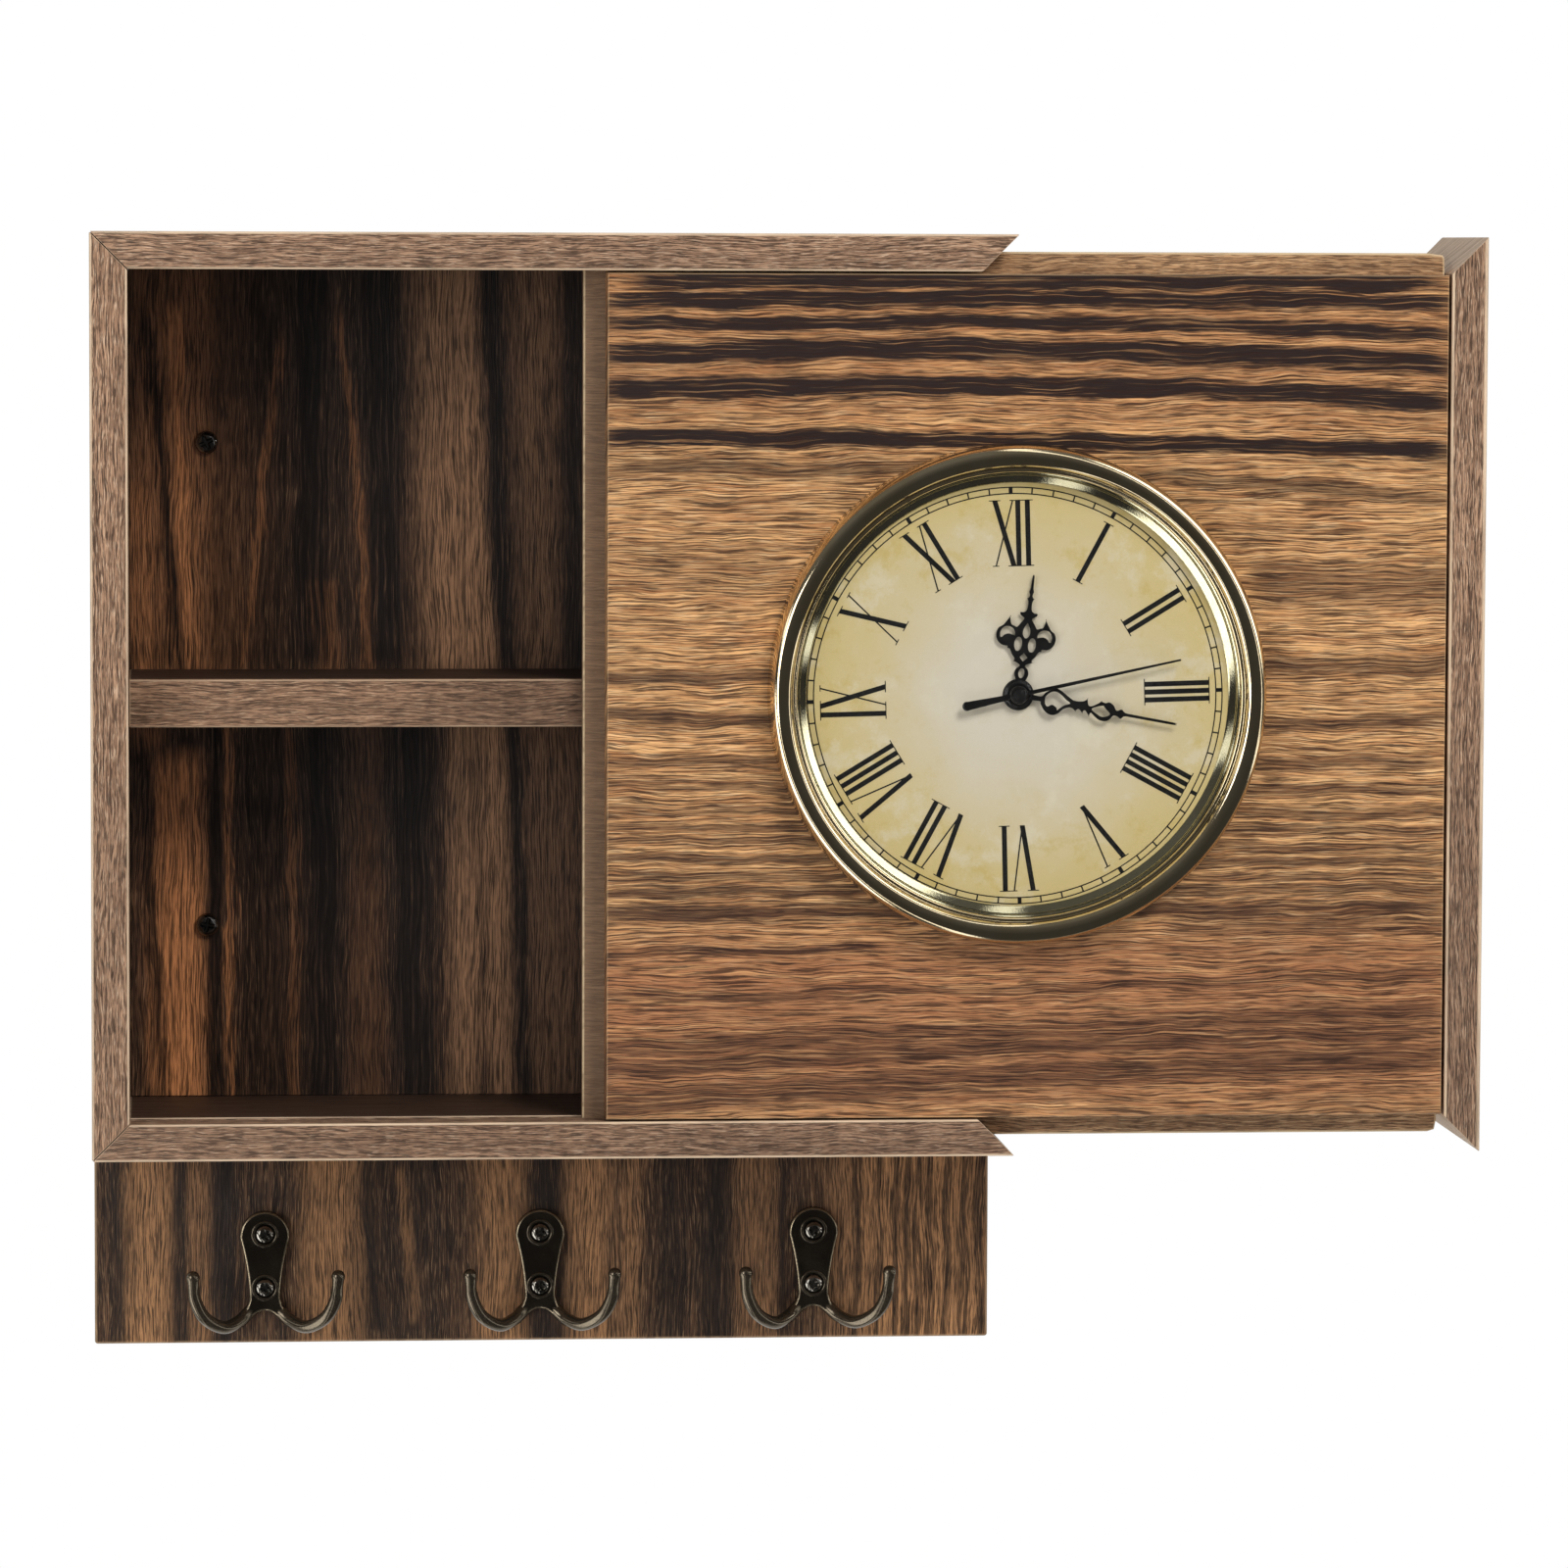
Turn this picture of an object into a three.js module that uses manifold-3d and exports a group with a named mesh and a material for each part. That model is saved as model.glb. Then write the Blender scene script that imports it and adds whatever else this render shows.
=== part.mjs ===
// A wall clock that hides a two-bay compartment: the clock panel slides sideways in grooves.
// Millimetres, +Z up, front towards -Y. The origin is on the wall plane, at the middle of the closed case.
// The model is shown with the slider pulled open to the right.

import * as THREE from 'three';
import { mergeVertices } from 'three/addons/utils/BufferGeometryUtils.js';
import Module from 'manifold-3d';

const wasm = await Module();
wasm.setup();

// Case
const caseWidth = 260;
const caseHeight = 260;
const caseDepth = 76;
const boardThickness = 10.5;
const lipThickness = 10.4;        // the strip of board in front of the groove
const grooveDepth = 6;
const backThickness = 8;
const shelfThickness = 13.5;
const shelfCentreZ = -2.4;
const hookBoardThickness = 8;
const hookBoardHeight = 61.2;

// Gaps
const seam = 0.3;                 // between pieces that are glued, screwed or pressed together
const runClearance = 0.3;         // each side of the backing board in its groove
const edgeClearance = 0.4;        // backing board's edge to the groove's bottom
const panelClearance = 0.6;       // front panel's edge to the case opening
const shelfClearance = 0.6;       // shelf's front to what slides past it
const turnClearance = 0.3;        // between pieces that turn in each other

// Slider
const slideTravel = 133;          // from closed to the stop
const backingThickness = 5;
const panelEndGap = 0.8;          // front panel's right edge to the end board
const backingCornerRadius = 1.5;
const windowMargin = 5.4;         // round the movement's corners, in the backing board's round window
const stopBlock = { width: 8, depth: 5, height: 11 };
const stopPeg = { radius: 2.5, drop: 8, depth: 7, setback: 1.2 };

// Dowels and screws; a screw's length is measured from under its head
const hookBoardDowel = { radius: 2.5, length: 18, inset: 40, intoCase: 7.5 };
const endDowel = { radius: 1.25, length: 17, inset: 40, intoEndBoard: 7 };
const wallScrew = { headRadius: 3.3, headHeight: 2.3, shankRadius: 1.75, length: 30, pointLength: 4 };
const wallScrewInset = { x: 22.2, z: 49.9 };     // from the inner faces of the case's boards
const shelfScrew = { headRadius: 3.2, headHeight: 2.4, shankRadius: 1.5, length: 22, pointLength: 3 };
const shelfScrewInset = 39.5;     // outer two, from the inner faces of the case's boards
const hookScrew = { headRadius: 2.5, headHeight: 1.5, shankRadius: 1.3, length: 9, pointLength: 2.5 };
const earScrew = { headRadius: 2.2, headHeight: 1.3, shankRadius: 0.9, length: 4.6, pointLength: 1 };
const recessWidth = 0.9;          // arms of the cross recess in a screw head
const recessDepth = 1;

// Hooks, measured down from the top of the plate
const hookInset = 50.2;           // outer two, from the ends of the hook board
const hookCentreX = -1.1;         // middle hook's place along the board
const hookPlateTop = 22.9;        // from the case's underside to the top of the plate
const hookPlateThickness = 2.6;
const hookPlateLength = 26.5;
const hookLobeRadius = 7.1;
const hookWaistHalf = 4.4;
const hookSinkDepth = 0.7;        // of the flat sinking round each screw head
const hookScrewDrops = [6.6, 22.2];
const hookArmRadius = 1.85;
const hookArmDrop = 32.6;         // to the lowest point of the arms' centre lines
const hookTipRadius = 2.1;
const hookTipDrop = 17.9;
const hookTipSpacing = 41.6;
const hookReach = 18;             // how far the tips stand out from the board

// Clock insert
const clockOffset = { x: -3.4, z: 1 };           // from the middle of the closed case
const clockCaseRadius = 59.5;
const clockCaseWall = 1.5;
const caseToBacking = 1.7;        // from the back of the clock's case to the backing board
const flangeWidth = 4.7;          // the case's rim, beyond its wall
const flangeThickness = 0.6;
const gasketThickness = 2;
const dialThickness = 0.5;
const reflectorHeight = 2.3;
const reflectorSlope = 2.2;
const glassThickness = 1.5;
const glassRise = 2.5;
const bezelLip = 1.6;             // over the edge of the glass
const bezelLipHeight = 3.6;       // from the glass forwards
const bezelWall = 2.4;
const bezelFlare = 5.9;           // the bezel's foot, beyond its inner wall

// Movement, sized by the battery that it holds
const battery = { radius: 7.1, length: 49.2, nubRadius: 2.7, nubLength: 1.3 };
const batteryInset = 0.1;         // behind the movement's back face
const batteryEdge = 3.1;          // from the battery bay to the movement's top
const contactThickness = 0.4;
const contactHalf = 5;
const springHeight = 1.1;         // of the cone that presses on the battery
const movementWall = 1.2;
const bayFloor = 0.5;
const coverThickness = 0.9;
const movementEar = { reach: 9, height: 12, thickness: 1.6 };
const coil = { radius: 3.6, length: 18, coreEnd: 2, coreHalf: 4.6, coreThickness: 2, depth: 6 };
const knobPlace = { x: 10, z: -16 };
const knob = { radius: 4.5, height: 1.8, shaftRadius: 1.5, pinionRadius: 3.2, pinionHeight: 2, shaftDepth: 6 };
const knobFlutes = 12;
const fluteRadius = 0.55;

// Shafts from the inside out, wheels and hands
const secondArborRadius = 0.6;
const minuteTubeRadius = 1.6;
const hourTubeRadius = 2.6;
const bushWall = 1.1;
const wheelRadius = 7.2;
const wheelThickness = 1;
const wheelStep = 1.8;            // from one wheel to the next
const firstWheelDepth = 1.2;      // behind the front of the movement's case
const handThickness = 0.4;
const handStep = 1;               // from one hand's front to the next
const hourHandLift = 1.3;         // from the dial to the hour hand's front
const hourHandAngle = 7;          // degrees clockwise from the top
const minuteHandAngle = 100.6;
const secondHandAngle = 77.9;
const handLength = { hour: 33.9, minute: 45, second: 46.8, secondTail: 14.8 };   // from the axis

// Facets round a turned piece
const ringSides = 48;
const boreSides = 20;
const screwSides = 10;

// Places in the case
const halfWidth = caseWidth / 2;
const halfHeight = caseHeight / 2;
const innerHalfWidth = halfWidth - boardThickness;
const innerHalfHeight = halfHeight - boardThickness;
const frontY = -caseDepth;
const grooveFrontY = frontY + lipThickness;
const backingFrontY = grooveFrontY + runClearance;
const backingBackY = backingFrontY + backingThickness;
const grooveBackY = backingBackY + runClearance;
const backFrontY = -backThickness;
const shelfTopZ = shelfCentreZ + shelfThickness / 2;
const shelfBottomZ = shelfCentreZ - shelfThickness / 2;
const backingHalfHeight = innerHalfHeight + grooveDepth - edgeClearance;
const backingLeftX = -(innerHalfWidth + grooveDepth - edgeClearance);
const backingRightX = innerHalfWidth - seam;
const mitreGap = seam / Math.SQRT2;
const hookBoardTopZ = -halfHeight - seam;
const hookBoardDowelZ = -halfHeight + hookBoardDowel.intoCase - hookBoardDowel.length / 2;
const hookTopZ = -halfHeight - hookPlateTop;
const hookBackY = -hookBoardThickness - seam;
const hookScrewSeatY = hookBackY - hookPlateThickness + hookSinkDepth - seam;

// The stop block sits behind the backing board, clear of the left board when the slider is closed
const stopBlockLeft = backingLeftX + grooveDepth - edgeClearance + seam;
const stopBlockRight = stopBlockLeft + stopBlock.width;
const stopPegX = stopBlockRight + slideTravel + seam + stopPeg.radius;
const stopPegY = grooveBackY + stopPeg.setback + stopPeg.radius;

// Places along the clock's axis, from the panel's face forwards
const flangeBackY = frontY - seam;
const flangeFrontY = flangeBackY - flangeThickness;
const dialBackY = flangeFrontY - seam;
const dialFrontY = dialBackY - dialThickness;
const reflectorBackY = dialFrontY - seam;
const reflectorFrontY = reflectorBackY - reflectorHeight;
const glassBackY = reflectorFrontY - seam;
const glassEdgeFrontY = glassBackY - glassThickness;
const lipBackY = glassEdgeFrontY - seam;
const bezelFrontY = lipBackY - bezelLipHeight;
const hourHandFrontY = dialFrontY - hourHandLift;
const minuteHandFrontY = hourHandFrontY - handStep;
const secondHandFrontY = minuteHandFrontY - handStep;
const bushFrontY = hourHandFrontY + handThickness + turnClearance;

// Places along the clock's axis, from the panel's face backwards
const cupBackY = backingFrontY - caseToBacking;
const earBackY = cupBackY + seam + movementEar.thickness;
const coverFrontY = dialBackY + seam;
const coverBackY = coverFrontY + coverThickness;
const movementFrontY = coverBackY + seam;
const movementDepth = bayFloor + seam + 2 * battery.radius + batteryInset;
const movementBackY = movementFrontY + movementDepth;
const movementInnerY = movementBackY - movementWall;
const shelfFrontY = Math.max(grooveBackY, movementBackY) + shelfClearance;

// Radii and widths in the clock
const flangeRadius = clockCaseRadius + flangeWidth;
const bezelPocket = flangeRadius + seam;
const bezelOpening = flangeRadius - bezelLip;
const bezelRadius = bezelPocket + bezelFlare;
const gasketInner = clockCaseRadius + seam;
const gasketOuter = gasketInner + gasketThickness;
const panelHoleRadius = gasketOuter + seam;
const bushRadius = hourTubeRadius + turnClearance + bushWall;
const movementHalf = (battery.length + battery.nubLength + springHeight) / 2
  + movementWall + contactThickness + 2 * seam;
const batteryZ = movementHalf - batteryEdge - seam - battery.radius;
const windowRadius = Math.hypot(movementHalf, movementHalf) + windowMargin;
const earScrewX = movementHalf + movementEar.reach / 2 + earScrew.shankRadius - seam;

function finish(color, roughness, metalness = 0) {
  return new THREE.MeshStandardMaterial({ color, roughness, metalness });
}

const frameWood = finish('#8c735c', 0.62);
const darkWood = finish('#46342a', 0.6);
const shelfWood = finish('#6b5543', 0.65);
const backingWood = finish('#a08058', 0.6);
const panelWood = finish('#b88a58', 0.55);
const dowelWood = finish('#c9a878', 0.7);
const bronze = finish('#2c2a26', 0.4, 0.9);
const screwSteel = finish('#b9b9b6', 0.35, 1);
const blackSteel = finish('#2a2a2c', 0.45, 0.9);
const gold = finish('#c8963c', 0.2, 1);
const glass = finish('#e8f0f0', 0.05);
const rubber = finish('#1c1c1c', 0.9);
const dialPaper = finish('#d4c8a4', 0.6);
const blackPlastic = finish('#1b1b1d', 0.5);
const handBlack = finish('#141414', 0.4, 0.5);
const brassMetal = finish('#b08d4a', 0.35, 1);
const batteryLabel = finish('#3d5a3a', 0.4, 0.3);

// Closed mesh to a solid that can be joined and cut, and back
function toSolid(geometry) {
  const bare = geometry.clone();
  bare.deleteAttribute('normal');
  bare.deleteAttribute('uv');
  const merged = mergeVertices(bare, 1e-4);
  const index = merged.index.array;
  const triangles = [];
  for (let i = 0; i < index.length; i += 3) {
    const [a, b, c] = [index[i], index[i + 1], index[i + 2]];
    if (a !== b && b !== c && c !== a) triangles.push(a, b, c);
  }
  const mesh = new wasm.Mesh({
    numProp: 3,
    vertProperties: Float32Array.from(merged.attributes.position.array),
    triVerts: Uint32Array.from(triangles),
  });
  return new wasm.Manifold(mesh);
}

function toGeometry(solid) {
  const mesh = solid.getMesh();
  const geometry = new THREE.BufferGeometry();
  geometry.setAttribute('position', new THREE.BufferAttribute(Float32Array.from(mesh.vertProperties), 3));
  geometry.setIndex(new THREE.BufferAttribute(Uint32Array.from(mesh.triVerts), 1));
  geometry.computeVertexNormals();
  return geometry;
}

// Joins and cuts plain geometries: everything in `joined` becomes one body, then `cuts` come out
function carve(joined, cuts = []) {
  let solid = joined.map(toSolid).reduce((whole, piece) => whole.add(piece));
  for (const cut of cuts) solid = solid.subtract(toSolid(cut));
  return toGeometry(solid);
}

function box(x0, x1, y0, y1, z0, z1) {
  const geometry = new THREE.BoxGeometry(x1 - x0, y1 - y0, z1 - z0);
  return geometry.translate((x0 + x1) / 2, (y0 + y1) / 2, (z0 + z1) / 2);
}

// A cylinder along Y from y0 to y1 round the line through (x, z)
function rodY(radius, y0, y1, x = 0, z = 0, sides = 24) {
  const geometry = new THREE.CylinderGeometry(radius, radius, y1 - y0, sides);
  return geometry.translate(x, (y0 + y1) / 2, z);
}

function rodX(radius, x0, x1, y, z, sides = 12) {
  const geometry = new THREE.CylinderGeometry(radius, radius, x1 - x0, sides);
  return geometry.rotateZ(Math.PI / 2).translate((x0 + x1) / 2, y, z);
}

function rodZ(radius, z0, z1, x, y, sides = 16) {
  const geometry = new THREE.CylinderGeometry(radius, radius, z1 - z0, sides);
  return geometry.rotateX(Math.PI / 2).translate(x, y, (z0 + z1) / 2);
}

// An outline drawn in X and Z, from y0 (front) to y1 (back)
function plateY(shape, y0, y1, curveSegments = 12) {
  const geometry = new THREE.ExtrudeGeometry(shape, { depth: y1 - y0, bevelEnabled: false, curveSegments });
  return geometry.rotateX(Math.PI / 2).translate(0, y1, 0);
}

// A profile of [radius, y] points turned round the Y axis
function turned(profile, sides) {
  const points = profile.map(([radius, y]) => new THREE.Vector2(radius, y));
  return new THREE.LatheGeometry(points, sides);
}

function polygon(points) {
  return new THREE.Shape(points.map(([x, z]) => new THREE.Vector2(x, z)));
}

const cabinet = new THREE.Group();
const slider = new THREE.Group();
slider.position.x = slideTravel;
const clock = new THREE.Group();
clock.position.set(clockOffset.x, 0, clockOffset.z);
slider.add(clock);

function place(group, name, geometry, material) {
  const mesh = new THREE.Mesh(geometry, material);
  mesh.name = name;
  group.add(mesh);
  return mesh;
}

// One board of the mitred frame, lying along X with its outer face at z = 0
function mitredBoard(length, grooved) {
  const outer = length / 2 - mitreGap;
  const inner = outer - boardThickness;
  const outline = polygon([[-outer, 0], [outer, 0], [inner, -boardThickness], [-inner, -boardThickness]]);
  const board = plateY(outline, frontY, 0);
  const groove = box(-length, length, grooveFrontY, grooveBackY,
    -boardThickness - 1, -boardThickness + grooveDepth);
  return carve([board], grooved ? [groove] : []);
}

// Pan-head screw along +Y, its head in front of y = 0, with a cross recess
function screw({ headRadius, headHeight, shankRadius, length, pointLength }) {
  const profile = [
    [0, -headHeight], [headRadius * 0.55, -headHeight], [headRadius * 0.88, -headHeight * 0.7],
    [headRadius, -headHeight * 0.25], [headRadius, 0], [shankRadius, 0], [shankRadius, length - pointLength],
    [0, length],
  ];
  const reach = headRadius * 0.6;
  const recess = [
    box(-reach, reach, -headHeight - 1, -headHeight + recessDepth, -recessWidth / 2, recessWidth / 2),
    box(-recessWidth / 2, recessWidth / 2, -headHeight - 1, -headHeight + recessDepth, -reach, reach),
  ];
  return carve([turned(profile, screwSides)], recess);
}

// Frame
function buildFrame() {
  const topBoard = mitredBoard(caseWidth, true).translate(0, 0, halfHeight);
  const pegHole = rodZ(stopPeg.radius + seam, innerHalfHeight - 1, innerHalfHeight + stopPeg.depth + seam,
    stopPegX, stopPegY);
  place(cabinet, 'top_board', carve([topBoard], [pegHole]), frameWood);
  const peg = rodZ(stopPeg.radius, innerHalfHeight - stopPeg.drop, innerHalfHeight + stopPeg.depth,
    stopPegX, stopPegY);
  place(cabinet, 'stop_peg', peg, dowelWood);

  const bottomBoard = mitredBoard(caseWidth, true).rotateY(Math.PI).translate(0, 0, -halfHeight);
  place(cabinet, 'bottom_board', carve([bottomBoard], hookBoardDowelHoles()), frameWood);

  const leftBoard = mitredBoard(caseHeight, true).rotateY(-Math.PI / 2).translate(-halfWidth, 0, 0);
  place(cabinet, 'left_board', leftBoard, frameWood);
}

// A screw's or dowel's hole, with a seam all round
function hole(radius, y0, y1, x, z) {
  return rodY(radius + seam, y0, y1, x, z, screwSides);
}

function shelfScrewPlaces() {
  return [['left', -1], ['middle', 0], ['right', 1]].map(([side, step]) => (
    { side, x: step * (innerHalfWidth - shelfScrewInset) }));
}

function wallScrewPlaces() {
  const places = [];
  const screwX = innerHalfWidth - wallScrewInset.x;
  const screwZ = innerHalfHeight - wallScrewInset.z;
  for (const [side, x] of [['left', -screwX], ['right', screwX]]) {
    for (const [level, z] of [['upper', screwZ], ['lower', -screwZ]]) {
      places.push({ name: `wall_screw_${side}_${level}`, x, z });
    }
  }
  return places;
}

function buildBack() {
  const edgeX = innerHalfWidth - seam;
  const edgeZ = innerHalfHeight - seam;
  const panel = box(-edgeX, edgeX, backFrontY, 0, -edgeZ, edgeZ);
  const cuts = wallScrewPlaces().map(({ x, z }) => hole(wallScrew.shankRadius, backFrontY - 1, 1, x, z));
  for (const { x } of shelfScrewPlaces()) {
    cuts.push(hole(shelfScrew.shankRadius, backFrontY - 1, 1, x, shelfCentreZ));
    cuts.push(hole(shelfScrew.headRadius, -shelfScrew.headHeight - seam, 1, x, shelfCentreZ));
  }
  place(cabinet, 'back_panel', carve([panel], cuts), darkWood);
  for (const { name, x, z } of wallScrewPlaces()) {
    place(cabinet, name, screw(wallScrew).translate(x, backFrontY - seam, z), blackSteel);
  }
}

function buildShelf() {
  const shelf = box(-innerHalfWidth + seam, innerHalfWidth - seam, shelfFrontY, backFrontY - seam,
    shelfBottomZ, shelfTopZ);
  const holeFrontY = -shelfScrew.headHeight - shelfScrew.length - seam;
  const holes = shelfScrewPlaces().map(({ x }) => hole(shelfScrew.shankRadius, holeFrontY, 0, x, shelfCentreZ));
  place(cabinet, 'shelf', carve([shelf], holes), shelfWood);
  for (const { side, x } of shelfScrewPlaces()) {
    const fixing = screw(shelfScrew).rotateZ(Math.PI);
    place(cabinet, `shelf_screw_${side}`, fixing.translate(x, -shelfScrew.headHeight, shelfCentreZ), screwSteel);
  }
}

// The two dowels stand in the bottom board and the hook board; `extra` makes their holes
function hookBoardDowels(extra = 0) {
  const half = hookBoardDowel.length / 2 + extra;
  return [-1, 1].map((side) => rodZ(hookBoardDowel.radius + extra, hookBoardDowelZ - half, hookBoardDowelZ + half,
    side * (halfWidth - hookBoardDowel.inset), -hookBoardThickness / 2));
}

function hookBoardDowelHoles() {
  return hookBoardDowels(seam);
}

function hookPlaces() {
  return [['left', -1], ['middle', 0], ['right', 1]].map(([side, step]) => (
    { side, x: hookCentreX + step * (halfWidth - hookInset) }));
}

function buildHookBoard() {
  const board = box(-halfWidth, halfWidth, -hookBoardThickness, 0, hookBoardTopZ - hookBoardHeight, hookBoardTopZ);
  const pilotEndY = hookScrewSeatY + hookScrew.length + seam;
  const pilots = hookPlaces().flatMap(({ x }) => hookScrewDrops.map((drop) => (
    hole(hookScrew.shankRadius, -hookBoardThickness - 1, pilotEndY, x, hookTopZ - drop))));
  place(cabinet, 'hook_board', carve([board], [...hookBoardDowelHoles(), ...pilots]), darkWood);
  const [leftDowel, rightDowel] = hookBoardDowels();
  place(cabinet, 'hook_board_dowel_left', leftDowel, dowelWood);
  place(cabinet, 'hook_board_dowel_right', rightDowel, dowelWood);
}

// Plate outline: a round lobe at the top that narrows to a waist, then spreads to the two arms
function hookPlateOutline() {
  const lobeZ = -hookLobeRadius;
  const footZ = -hookPlateLength;
  const shoulder = 0.15;            // radians that the lobe runs on below its middle
  const waist = hookWaistHalf;
  const shape = new THREE.Shape();
  shape.absarc(0, lobeZ, hookLobeRadius, -shoulder, Math.PI + shoulder, false);
  shape.quadraticCurveTo(-waist, lobeZ - 9, -waist, footZ + 2.5);
  shape.quadraticCurveTo(-waist, footZ - 1.5, -waist - 2.6, footZ - 3.4);
  shape.lineTo(-waist - 0.6, footZ - 5.6);
  shape.quadraticCurveTo(-waist + 2, footZ - 2.4, 0, footZ - 2.4);
  shape.quadraticCurveTo(waist - 2, footZ - 2.4, waist + 0.6, footZ - 5.6);
  shape.lineTo(waist + 2.6, footZ - 3.4);
  shape.quadraticCurveTo(waist, footZ - 1.5, waist, footZ + 2.5);
  shape.quadraticCurveTo(waist, lobeZ - 9, hookLobeRadius * Math.cos(shoulder),
    lobeZ - hookLobeRadius * Math.sin(shoulder));
  return shape;
}

// One arm: down and out from the plate's foot, forwards, then up to a ball tip
function hookArm(side) {
  const rootY = -hookPlateThickness / 2 - 0.4;
  const tipX = hookTipSpacing / 2;
  const tipY = -hookReach + hookTipRadius;
  const spine = [
    [hookWaistHalf, rootY, hookPlateLength + 2.7],
    [hookWaistHalf + 3, rootY - 1.6, hookArmDrop - 1.1],
    [tipX - 8.8, rootY - 6, hookArmDrop],
    [tipX - 3.4, tipY + 3.1, hookTipDrop + 9.8],
    [tipX - 0.2, tipY + 0.9, hookTipDrop + 5],
    [tipX, tipY, hookTipDrop + 0.4],
  ];
  const path = new THREE.CatmullRomCurve3(spine.map(([x, y, drop]) => new THREE.Vector3(side * x, y, -drop)));
  const section = new THREE.Shape();
  section.absarc(0, 0, hookArmRadius, 0, 2 * Math.PI, false);
  const rod = new THREE.ExtrudeGeometry(section, { steps: 11, curveSegments: 4, extrudePath: path });
  const ball = new THREE.SphereGeometry(hookTipRadius, 8, 6);
  return [rod, ball.translate(side * tipX, tipY, -hookTipDrop)];
}

function buildHooks() {
  const plateFrontY = -hookPlateThickness;
  for (const { side, x } of hookPlaces()) {
    const plate = plateY(hookPlateOutline(), plateFrontY, 0, 5);
    const holes = hookScrewDrops.flatMap((drop) => [
      hole(hookScrew.shankRadius, plateFrontY - 1, 1, 0, -drop),
      hole(hookScrew.headRadius, plateFrontY - 1, plateFrontY + hookSinkDepth, 0, -drop),
    ]);
    const behindPlate = box(-hookTipSpacing, hookTipSpacing, 0, hookReach, -2 * hookArmDrop, hookArmDrop);
    const hook = carve([plate, ...hookArm(-1), ...hookArm(1)], [...holes, behindPlate]);
    place(cabinet, `hook_${side}`, hook.translate(x, hookBackY, hookTopZ), bronze);
    hookScrewDrops.forEach((drop, i) => {
      const fixing = screw(hookScrew).translate(x, hookScrewSeatY, hookTopZ - drop);
      place(cabinet, `hook_screw_${side}_${i === 0 ? 'upper' : 'lower'}`, fixing, screwSteel);
    });
  }
}

// Slider: backing board in the grooves, front panel glued to it, end board closing the frame
function endDowelPlaces() {
  return [['upper', 1], ['middle', 0], ['lower', -1]].map(([level, step]) => (
    { level, z: step * (halfHeight - endDowel.inset) }));
}

function endDowelRod({ z }, extra = 0) {
  const endX = innerHalfWidth + endDowel.intoEndBoard + extra;
  const startX = innerHalfWidth + endDowel.intoEndBoard - endDowel.length - extra;
  return rodX(endDowel.radius + extra, startX, endX, (backingFrontY + backingBackY) / 2, z);
}

function buildSliderBoards() {
  const r = backingCornerRadius;
  const outline = new THREE.Shape();
  outline.moveTo(backingLeftX, -backingHalfHeight);
  outline.lineTo(backingRightX - r, -backingHalfHeight);
  outline.absarc(backingRightX - r, -backingHalfHeight + r, r, -Math.PI / 2, 0, false);
  outline.lineTo(backingRightX, backingHalfHeight - r);
  outline.absarc(backingRightX - r, backingHalfHeight - r, r, 0, Math.PI / 2, false);
  outline.lineTo(backingLeftX, backingHalfHeight);
  const backing = plateY(outline, backingFrontY, backingBackY, 4);
  const window = rodY(windowRadius, backingFrontY - 1, backingBackY + 1, clockOffset.x, clockOffset.z, ringSides);
  const dowelHoles = endDowelPlaces().map((spot) => endDowelRod(spot, seam));
  place(slider, 'backing_board', carve([backing], [window, ...dowelHoles]), backingWood);

  const panelZ = innerHalfHeight - panelClearance;
  const panel = box(-innerHalfWidth + panelClearance, innerHalfWidth - panelEndGap, frontY,
    backingFrontY - seam, -panelZ, panelZ);
  const clockHole = rodY(panelHoleRadius, frontY - 1, backingFrontY + 1, clockOffset.x, clockOffset.z,
    ringSides);
  place(slider, 'front_panel', carve([panel], [clockHole]), panelWood);

  const end = mitredBoard(caseHeight, false).rotateY(Math.PI / 2).translate(halfWidth, 0, 0);
  place(slider, 'end_board', carve([end], dowelHoles), frameWood);
  for (const spot of endDowelPlaces()) {
    place(slider, `end_dowel_${spot.level}`, endDowelRod(spot), dowelWood);
  }

  const blockY = backingBackY + seam;
  const block = box(stopBlockLeft, stopBlockRight, blockY, blockY + stopBlock.depth,
    panelZ - stopBlock.height, panelZ);
  place(slider, 'stop_block', block, dowelWood);
}

// A tube's wall between two radii, from y0 (front) to y1 (back)
function ring(inner, outer, y0, y1) {
  return turned([[inner, y0], [outer, y0], [outer, y1], [inner, y1], [inner, y0]], ringSides);
}

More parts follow.
